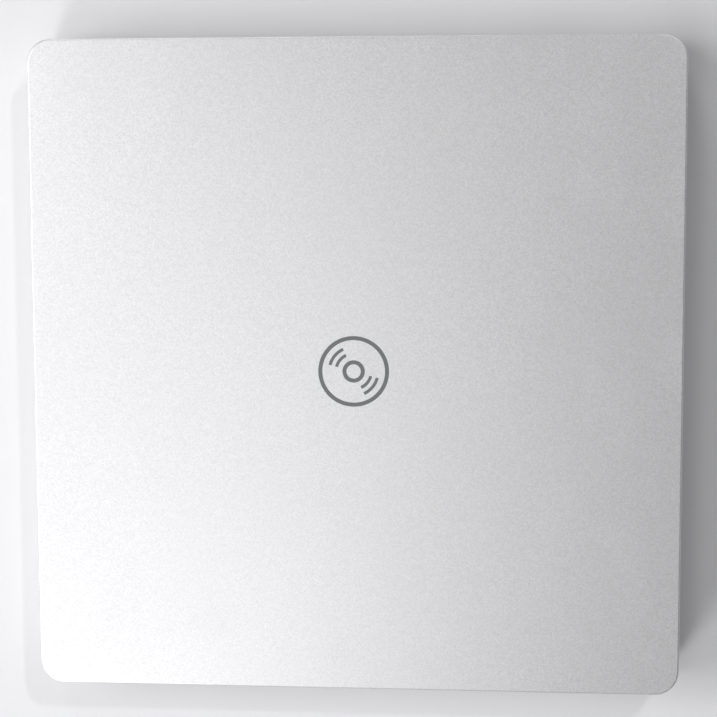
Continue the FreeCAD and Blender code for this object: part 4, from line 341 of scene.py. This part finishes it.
def piece_from(name, build, finish, body, smooth=True, bevel=0.0):
    """Makes a mesh with bmesh and gives it a finish; it rides on a CAD body when one is given."""
    mesh = bpy.data.meshes.new(name)
    work = bmesh.new()
    build(work)
    bmesh.ops.remove_doubles(work, verts=work.verts, dist=1e-7)
    bmesh.ops.recalc_face_normals(work, faces=work.faces)
    work.to_mesh(mesh)
    work.free()
    if smooth:
        mesh.shade_smooth()
        mesh.set_sharp_from_angle(angle=math.radians(35))
    thing = bpy.data.objects.new(name, mesh)
    bpy.context.scene.collection.objects.link(thing)
    mesh.materials.append(finish)
    if bevel:
        rounding = thing.modifiers.new("round", "BEVEL")
        rounding.width, rounding.segments, rounding.limit_method = bevel * MM, 2, "ANGLE"
    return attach(thing, body) if body else thing


def ring_band(work, centre, inner, outer, low, high, start=0.0, end=360.0, steps=96):
    """A flat band of part or all of a ring, between two heights."""
    whole = end - start >= 360.0
    count = steps if whole else steps + 1
    rows = []
    for i in range(count):
        a = math.radians(start + (end - start) * i / steps)
        out = Vector((math.cos(a), math.sin(a), 0))
        corners = ((inner, low), (outer, low), (outer, high), (inner, high))
        rows.append([work.verts.new(centre + out * r + Vector((0, 0, z))) for r, z in corners])
    for i in range(steps):
        a, b = rows[i], rows[(i + 1) % count]
        for k in range(4):
            work.faces.new((a[k], a[(k + 1) % 4], b[(k + 1) % 4], b[k]))
    if not whole:
        work.faces.new(rows[0][::-1])
        work.faces.new(rows[-1])


MARK_RIM = (7.0 * MM, 7.9 * MM)
MARK_HUB = (1.6 * MM, 2.5 * MM)
MARK_GLEAMS = ((3.6 * MM, 4.3 * MM), (5.1 * MM, 5.8 * MM))
INK_LAYER = (-0.01 * MM, 0.012 * MM)


def disc_mark(work):
    """A plain disc pictogram: rim, hub ring and two gleam arcs."""
    centre = Vector((0, -0.6 * MM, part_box("top_cover")[1].z))
    ring_band(work, centre, *MARK_RIM, *INK_LAYER)
    ring_band(work, centre, *MARK_HUB, *INK_LAYER, steps=48)
    for start in (115, 295):
        for gleam in MARK_GLEAMS:
            ring_band(work, centre, *gleam, *INK_LAYER, start, start + 50, 24)


mark_ink = ink("mark_ink", (0.165, 0.175, 0.18))
piece_from("top_mark", disc_mark, mark_ink, "case", smooth=False)


# ---- small parts of the boards: legs, capacitors, contacts

# outlines across a gull-wing leg, a capacitor and its tinned end, in millimetres
LEG = [(0, 0.55), (0.2, 0.55), (0.42, 0.12), (0.75, 0.12), (0.75, 0), (0.34, 0), (0.14, 0.43), (0, 0.43)]
CAPACITOR = [(-0.5, 0), (0.5, 0), (0.5, 0.45), (-0.5, 0.45)]
TINNED_END = [(-0.14, 0), (0.14, 0), (0.14, 0.48), (-0.14, 0.48)]
# capacitors of each board: x, y and turn
TRAY_CAPACITORS = [
    (-8, 33, 0), (-8, 34.4, 0), (-8, 35.8, 0), (-6, 45.5, 90), (-4.4, 45.5, 90), (-28, 33, 0), (-28, 34.4, 0),
    (12, 46.5, 90), (13.6, 46.5, 90), (15.2, 46.5, 90), (32, 34, 0), (32, 35.4, 0), (32, 42, 90),
    (-49, 38, 0), (-49, 36.6, 0), (38, 34, 90), (39.6, 34, 90),
]
BRIDGE_CAPACITORS = [
    (5, 68.4, 0), (19.5, 63.6, 90), (21, 63.6, 90), (33, 69, 0), (35.6, 65.4, 90),
    (-30, 66, 0), (-30, 67.4, 0), (-10, 68.6, 0), (-12, 68.6, 0), (50.8, 66.4, 90),
]


def solid_boxes(node):
    """Lowest and highest corner of each separate solid of a CAD node."""
    piece = frame["nodes"][node]
    work = bmesh.new()
    work.from_mesh(piece.data)
    work.transform(piece.matrix_world)
    bmesh.ops.remove_doubles(work, verts=work.verts, dist=1e-6)
    boxes, seen = [], set()
    for start in work.verts:
        if start in seen:
            continue
        seen.add(start)
        reached = [start]
        for vert in reached:
            for edge in vert.link_edges:
                other = edge.other_vert(vert)
                if other not in seen:
                    seen.add(other)
                    reached.append(other)
        low = Vector(min(v.co[k] for v in reached) for k in range(3))
        high = Vector(max(v.co[k] for v in reached) for k in range(3))
        boxes.append((low, high))
    work.free()
    return boxes


def prism(work, outline, origin, across, up, along):
    """An outline of (across, up) pairs in millimetres, drawn out along a vector, half each way."""
    near = [work.verts.new(origin - along / 2 + (across * a + up * b) * MM) for a, b in outline]
    far = [work.verts.new(v.co + along) for v in near]
    work.faces.new(near)
    work.faces.new(far[::-1])
    for i in range(len(near)):
        work.faces.new((near[i], near[i - 1], far[i - 1], far[i]))


def block(work, low, high):
    """An upright block between two corners."""
    middle, size = (low + high) / 2, high - low
    x, z = size.x / 2 / MM, size.z / 2 / MM
    outline = [(-x, -z), (x, -z), (x, z), (-x, z)]
    prism(work, outline, middle, Vector((1, 0, 0)), Vector((0, 0, 1)), Vector((0, size.y, 0)))


def legs(work, low, high, up, pitch, sides):
    """Gull-wing legs along the sides of a chip that stands on its board's face."""
    foot = low.z if up.z > 0 else high.z
    middle = (low + high) / 2
    for out in sides:
        out = Vector(out)
        run = Vector((abs(out.y), abs(out.x), 0))
        reach = abs(out.dot(high - low)) / 2
        count = int((run.dot(high - low) / MM - 0.6) / pitch)
        for n in range(count):
            place = middle + out * reach + run * (n - (count - 1) / 2) * pitch * MM
            place.z = foot
            prism(work, LEG, place, out, up, run * pitch * 0.45 * MM)


def board_details(name, chips, up, capacitors, body):
    """Legs of one board's chips, its capacitors and their tinned ends."""
    boxes = solid_boxes(chips)
    face = min(low.z for low, high in boxes) if up.z > 0 else max(high.z for low, high in boxes)

    def capacitor_frame(x, y, turn):
        across = Vector((math.cos(math.radians(turn)), math.sin(math.radians(turn)), 0))
        return Vector((x * MM, y * MM, face)), across, Vector((-across.y, across.x, 0))

    def tinned(work):
        for low, high in boxes:
            size = (high - low) / MM
            if size.x > 16:
                continue
            sides = [(1, 0, 0), (-1, 0, 0)]
            if min(size.x, size.y) > 6.5:
                sides += [(0, 1, 0), (0, -1, 0)]
            legs(work, low, high, up, 0.8 if size.x < 8 else 0.65, sides)
        for capacitor in capacitors:
            place, across, along = capacitor_frame(*capacitor)
            for end in (-0.42, 0.42):
                prism(work, TINNED_END, place + across * end * MM, across, up, along * 0.56 * MM)

    def ceramic(work):
        for capacitor in capacitors:
            place, across, along = capacitor_frame(*capacitor)
            prism(work, CAPACITOR, place, across, up, along * 0.5 * MM)

    piece_from(f"{name}_solder", tinned, solder, body, smooth=False)
    piece_from(f"{name}_ceramics", ceramic, ceramics, body, smooth=False)


solder = turned_metal("solder", (0.66, 0.67, 0.68), 0.3)
gold = turned_metal("gold_plate", (0.86, 0.66, 0.32), 0.22)
ceramics = moulded("capacitor_ceramic", (0.34, 0.24, 0.16), 0.4, 0.2, 0.004, 0.1)
board_details("tray_board", "tray_chips", Vector((0, 0, -1)), TRAY_CAPACITORS, "tray_unit")
board_details("bridge_board", "bridge_chips", Vector((0, 0, 1)), BRIDGE_CAPACITORS, "case")


def port_contacts(work):
    """Contact strips on both faces of the port's tongue."""
    low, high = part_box("usb_c_tongue")
    middle = (low.x + high.x) / 2
    for z, way in ((high.z, 1), (low.z, -1)):
        for n in range(12):
            x = middle + (n - 5.5) * 0.5 * MM
            start = Vector((x - 0.13 * MM, low.y + 0.6 * MM, min(z, z + way * 0.02 * MM)))
            end = Vector((x + 0.13 * MM, high.y - 0.25 * MM, max(z, z + way * 0.02 * MM)))
            block(work, start, end)


def socket_legs(work):
    """Soldered legs along the rear of the drive socket."""
    low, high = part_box("sata_receptacle")
    up = Vector((0, 0, 1))
    for n in range(13):
        place = Vector((low.x + (5.2 + n * 2.3) * MM, high.y, low.z))
        prism(work, LEG, place, Vector((0, 1, 0)), up, Vector((0.5 * MM, 0, 0)))


piece_from("port_contacts", port_contacts, gold, "case", smooth=False)
piece_from("socket_legs", socket_legs, solder, "case", smooth=False)


# ---- lens drive

def middle_of(node):
    low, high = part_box(node)
    return (low + high) / 2


LENS = middle_of("objective_lens")
TRAVEL = (LENS - middle_of("spindle_shaft")) * Vector((1, 1, 0))
TRAVEL.normalize()
ACROSS = Vector((-TRAVEL.y, TRAVEL.x, 0))
UP = Vector((0, 0, 1))


def at_lens(u, v, z):
    """A place in the row frame, from the lens along and across the travel, and a height."""
    return Vector((LENS.x, LENS.y, z * MM)) + (TRAVEL * u + ACROSS * v) * MM


def tube(work, path, radius, sides=8):
    """A round wire along a list of points."""
    rows = []
    for i, point in enumerate(path):
        ahead = (path[min(i + 1, len(path) - 1)] - path[max(i - 1, 0)]).normalized()
        side = ahead.cross(UP) if abs(ahead.z) < 0.9 else ahead.cross(Vector((1, 0, 0)))
        side.normalize()
        over = side.cross(ahead)
        turns = [math.tau * k / sides for k in range(sides)]
        outs = [side * math.cos(turn) + over * math.sin(turn) for turn in turns]
        rows.append([work.verts.new(point + out * radius) for out in outs])
    for a, b in zip(rows, rows[1:]):
        for k in range(sides):
            work.faces.new((a[k], a[(k + 1) % sides], b[(k + 1) % sides], b[k]))
    work.faces.new(rows[0][::-1])
    work.faces.new(rows[-1])


def focus_coils(work):
    """Flat coils on both sides of the lens holder."""
    for v in (-4.4, 4.4):
        for u in (-1.45, 1.45):
            for k in range(5):
                reach, tall = 1.25 - k * 0.18, 0.72 - k * 0.12
                corners = [(-reach, -tall), (reach, -tall), (reach, tall), (-reach, tall), (-reach, -tall)]
                tube(work, [at_lens(u + a, v, 9.85 + b) for a, b in corners], 0.09 * MM, 6)


def suspension(work):
    """Six sprung wires that carry the lens holder."""
    for v in (-4.66, 4.66):
        for z in (9.25, 9.85, 10.45):
            path = [at_lens(1.6 - 7.0 * n / 24, v, z) for n in range(25)]
            tube(work, path, 0.05 * MM, 6)


def wire_block(work):
    """Block that holds the wires' fixed ends."""
    outline = [(-5.9, 0), (5.9, 0), (5.9, 0.28), (5.2, 0.5), (-5.2, 0.5), (-5.9, 0.28)]
    prism(work, outline, at_lens(-5.2, 0, 10.3), ACROSS, UP, TRAVEL * 0.9 * MM)


def holder_tabs(work):
    """Ears of the holder that the wires are soldered to."""
    outline = [(-0.3, 0), (0.3, 0), (0.3, 1.5), (-0.3, 1.5)]
    for v in (-4.45, 4.45):
        prism(work, outline, at_lens(1.75, v, 9.1), ACROSS, UP, TRAVEL * 0.5 * MM)


piece_from("focus_coils", focus_coils, FINISHES["winding"], "lens")
piece_from("holder_tabs", holder_tabs, FINISHES["black_plastic"], "lens", smooth=False, bevel=0.04)
piece_from("wire_block", wire_block, FINISHES["black_plastic"], "sled", smooth=False, bevel=0.05)
wires = piece_from("suspension_wires", suspension, FINISHES["brass"], None)
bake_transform(wires)


# ---- spring and flat cable, built in place of their hidden CAD parts

def spring_wire(work):
    """Round-wire helix of the ejector's spring."""
    low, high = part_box("ejector_spring")
    middle = (low + high) / 2
    wire = 0.16 * MM
    radius = (high.x - low.x) / 2 - wire
    turns, steps = 7, 24
    start, length = low.y + wire, high.y - low.y - 2 * wire
    path = []
    for n in range(turns * steps + 1):
        a = math.tau * n / steps
        out = Vector((math.cos(a), 0, math.sin(a))) * radius
        path.append(Vector((middle.x, start + length * n / (turns * steps), middle.z)) + out)
    tube(work, path, wire)


spring = piece_from("spring_wire", spring_wire, FINISHES["spring_steel"], None)
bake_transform(spring)
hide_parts("ejector_spring")


CABLE_REACH = 67.0 * MM  # the upper leg, over which the cable passes from the case to the tray
CABLE_LIFT = 1.93 / MM  # divides the upper leg's small height wave


def ribbon(work):
    """Flat cable: lower leg, roll, upper leg and riser, drawn out across its width.

    The upper leg waves in height by hundredths of a millimetre.
    """
    low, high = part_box("flat_cable")
    sheet, bend, film = 0.2 * MM, 0.4 * MM, 0.06 * MM
    fold, axis, top_of_roll = low.y + bend, low.z + bend, low.z + 2 * bend
    middle = [(high.y - t * (high.y - fold) / 40, low.z + sheet / 2) for t in range(40)]
    for n in range(13):
        a = math.radians(-90 - 180 * n / 12)
        middle.append((fold + (bend - sheet / 2) * math.cos(a), axis + (bend - sheet / 2) * math.sin(a)))
    for t in range(1, 41):
        share = t / 40
        even = 0.5 - math.sin(math.asin(1 - 2 * share) / 3)
        height = top_of_roll - sheet / 2 + (even - share) / CABLE_LIFT
        middle.append((fold + share * CABLE_REACH, height))
    riser = fold + CABLE_REACH + sheet / 2
    middle += [(riser, top_of_roll + t * (high.z - top_of_roll) / 8) for t in range(1, 9)]
    rows = []
    for i, (y, z) in enumerate(middle):
        before, after = middle[max(i - 1, 0)], middle[min(i + 1, len(middle) - 1)]
        along = Vector((0, after[0] - before[0], after[1] - before[1])).normalized()
        normal = Vector((0, -along.z, along.y)) * film / 2
        place = Vector((0, y, z))
        corners = ((1, low.x), (1, high.x), (-1, high.x), (-1, low.x))
        rows.append([work.verts.new(place + side * normal + Vector((x, 0, 0))) for side, x in corners])
    for a, b in zip(rows, rows[1:]):
        for k in range(4):
            work.faces.new((a[k], a[(k + 1) % 4], b[(k + 1) % 4], b[k]))
    work.faces.new(rows[0][::-1])
    work.faces.new(rows[-1])


cable = piece_from("cable_ribbon", ribbon, FINISHES["film"], None)
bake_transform(cable)
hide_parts("flat_cable")


# ---- floor, light and camera


def floor_finish():
    f = Finish("floor_paper")
    cloud, fibre = f.noise(160, 3.0), f.noise(1.2, 3.0)
    colour = f.mix(f.ramp(cloud, 0.3, 0.7), (0.86, 0.858, 0.875), (0.88, 0.878, 0.893))
    return f.done(colour, f.ramp(fibre, 0.3, 0.7, 0.75, 0.85), f.bump(fibre, 0.01, 0.3))


bpy.ops.mesh.primitive_plane_add(size=6)
floor = bpy.context.object
floor.name = "floor"
floor.data.materials.append(floor_finish())


def area_light(name, azimuth, elevation, distance, size, power):
    """A square soft light that shines at the object from a compass direction (0 is +X, 90 is +Y)."""
    a, e = math.radians(azimuth), math.radians(elevation)
    direction = Vector((math.cos(e) * math.cos(a), math.cos(e) * math.sin(a), math.sin(e)))
    lamp = bpy.data.lights.new(name, "AREA")
    lamp.shape, lamp.size, lamp.energy = "SQUARE", size, power
    holder = bpy.data.objects.new(name, lamp)
    holder.location = mm(0, 0, 10) + direction * distance
    holder.rotation_mode = "QUATERNION"
    holder.rotation_quaternion = (-direction).to_track_quat("-Z", "Y")
    bpy.context.scene.collection.objects.link(holder)


# name, azimuth, elevation, distance, size and power of each light
LIGHTS = (
    ("window", 185, 42, 0.9, 0.5, 2.51),
    ("lamp_left", 180, 35, 0.9, 0.25, 0.58),
    ("lamp_front", 240, 35, 0.9, 0.25, 2.22),
    ("lamp_rear", 155, 50, 0.9, 0.25, 1.12),
    ("low_rear", 105, 20, 0.9, 0.25, 1.04),
    ("overhead_front", 240, 65, 0.9, 0.25, 0.59),
    ("overhead", 190, 80, 0.9, 0.25, 0.30),
    ("ceiling_lamp", 53, 54, 1.4, 0.06, 2.5),
)
for light in LIGHTS:
    area_light(*light)
world = bpy.data.worlds.new("studio")
bpy.context.scene.world = world
world.use_nodes = True
surround = world.node_tree.nodes["Background"]
surround.inputs["Color"].default_value = (1, 1, 1, 1)
surround.inputs["Strength"].default_value = 0.15

CAMERA = {"azimuth": 51.5, "elevation": 81.8, "roll": -0.22, "distance": 0.4201, "lens": 95.0}
TARGET = mm(1.1, 2.3, 17.0)


def photograph_camera():
    """Camera at the photograph's angle, looking at TARGET with the case's depth upright."""
    a, e = math.radians(CAMERA["azimuth"]), math.radians(CAMERA["elevation"])
    back = Vector((math.cos(e) * math.cos(a), math.cos(e) * math.sin(a), math.sin(e)))
    right = (-back).cross(Vector((0, 1, 0))).normalized()
    up = right.cross(-back)
    roll = Matrix.Rotation(math.radians(CAMERA["roll"]), 3, back)
    right, up = roll @ right, roll @ up
    data = bpy.data.cameras.new("photograph")
    data.lens, data.sensor_width = CAMERA["lens"], 36.0
    data.clip_start, data.clip_end = 0.01, 20.0
    camera = bpy.data.objects.new("photograph", data)
    turn = Matrix((right, up, back)).transposed().to_4x4()
    camera.matrix_world = Matrix.Translation(TARGET + back * CAMERA["distance"]) @ turn
    bpy.context.scene.collection.objects.link(camera)
    bpy.context.scene.camera = camera


photograph_camera()
bpy.context.scene.view_settings.view_transform = "Standard"
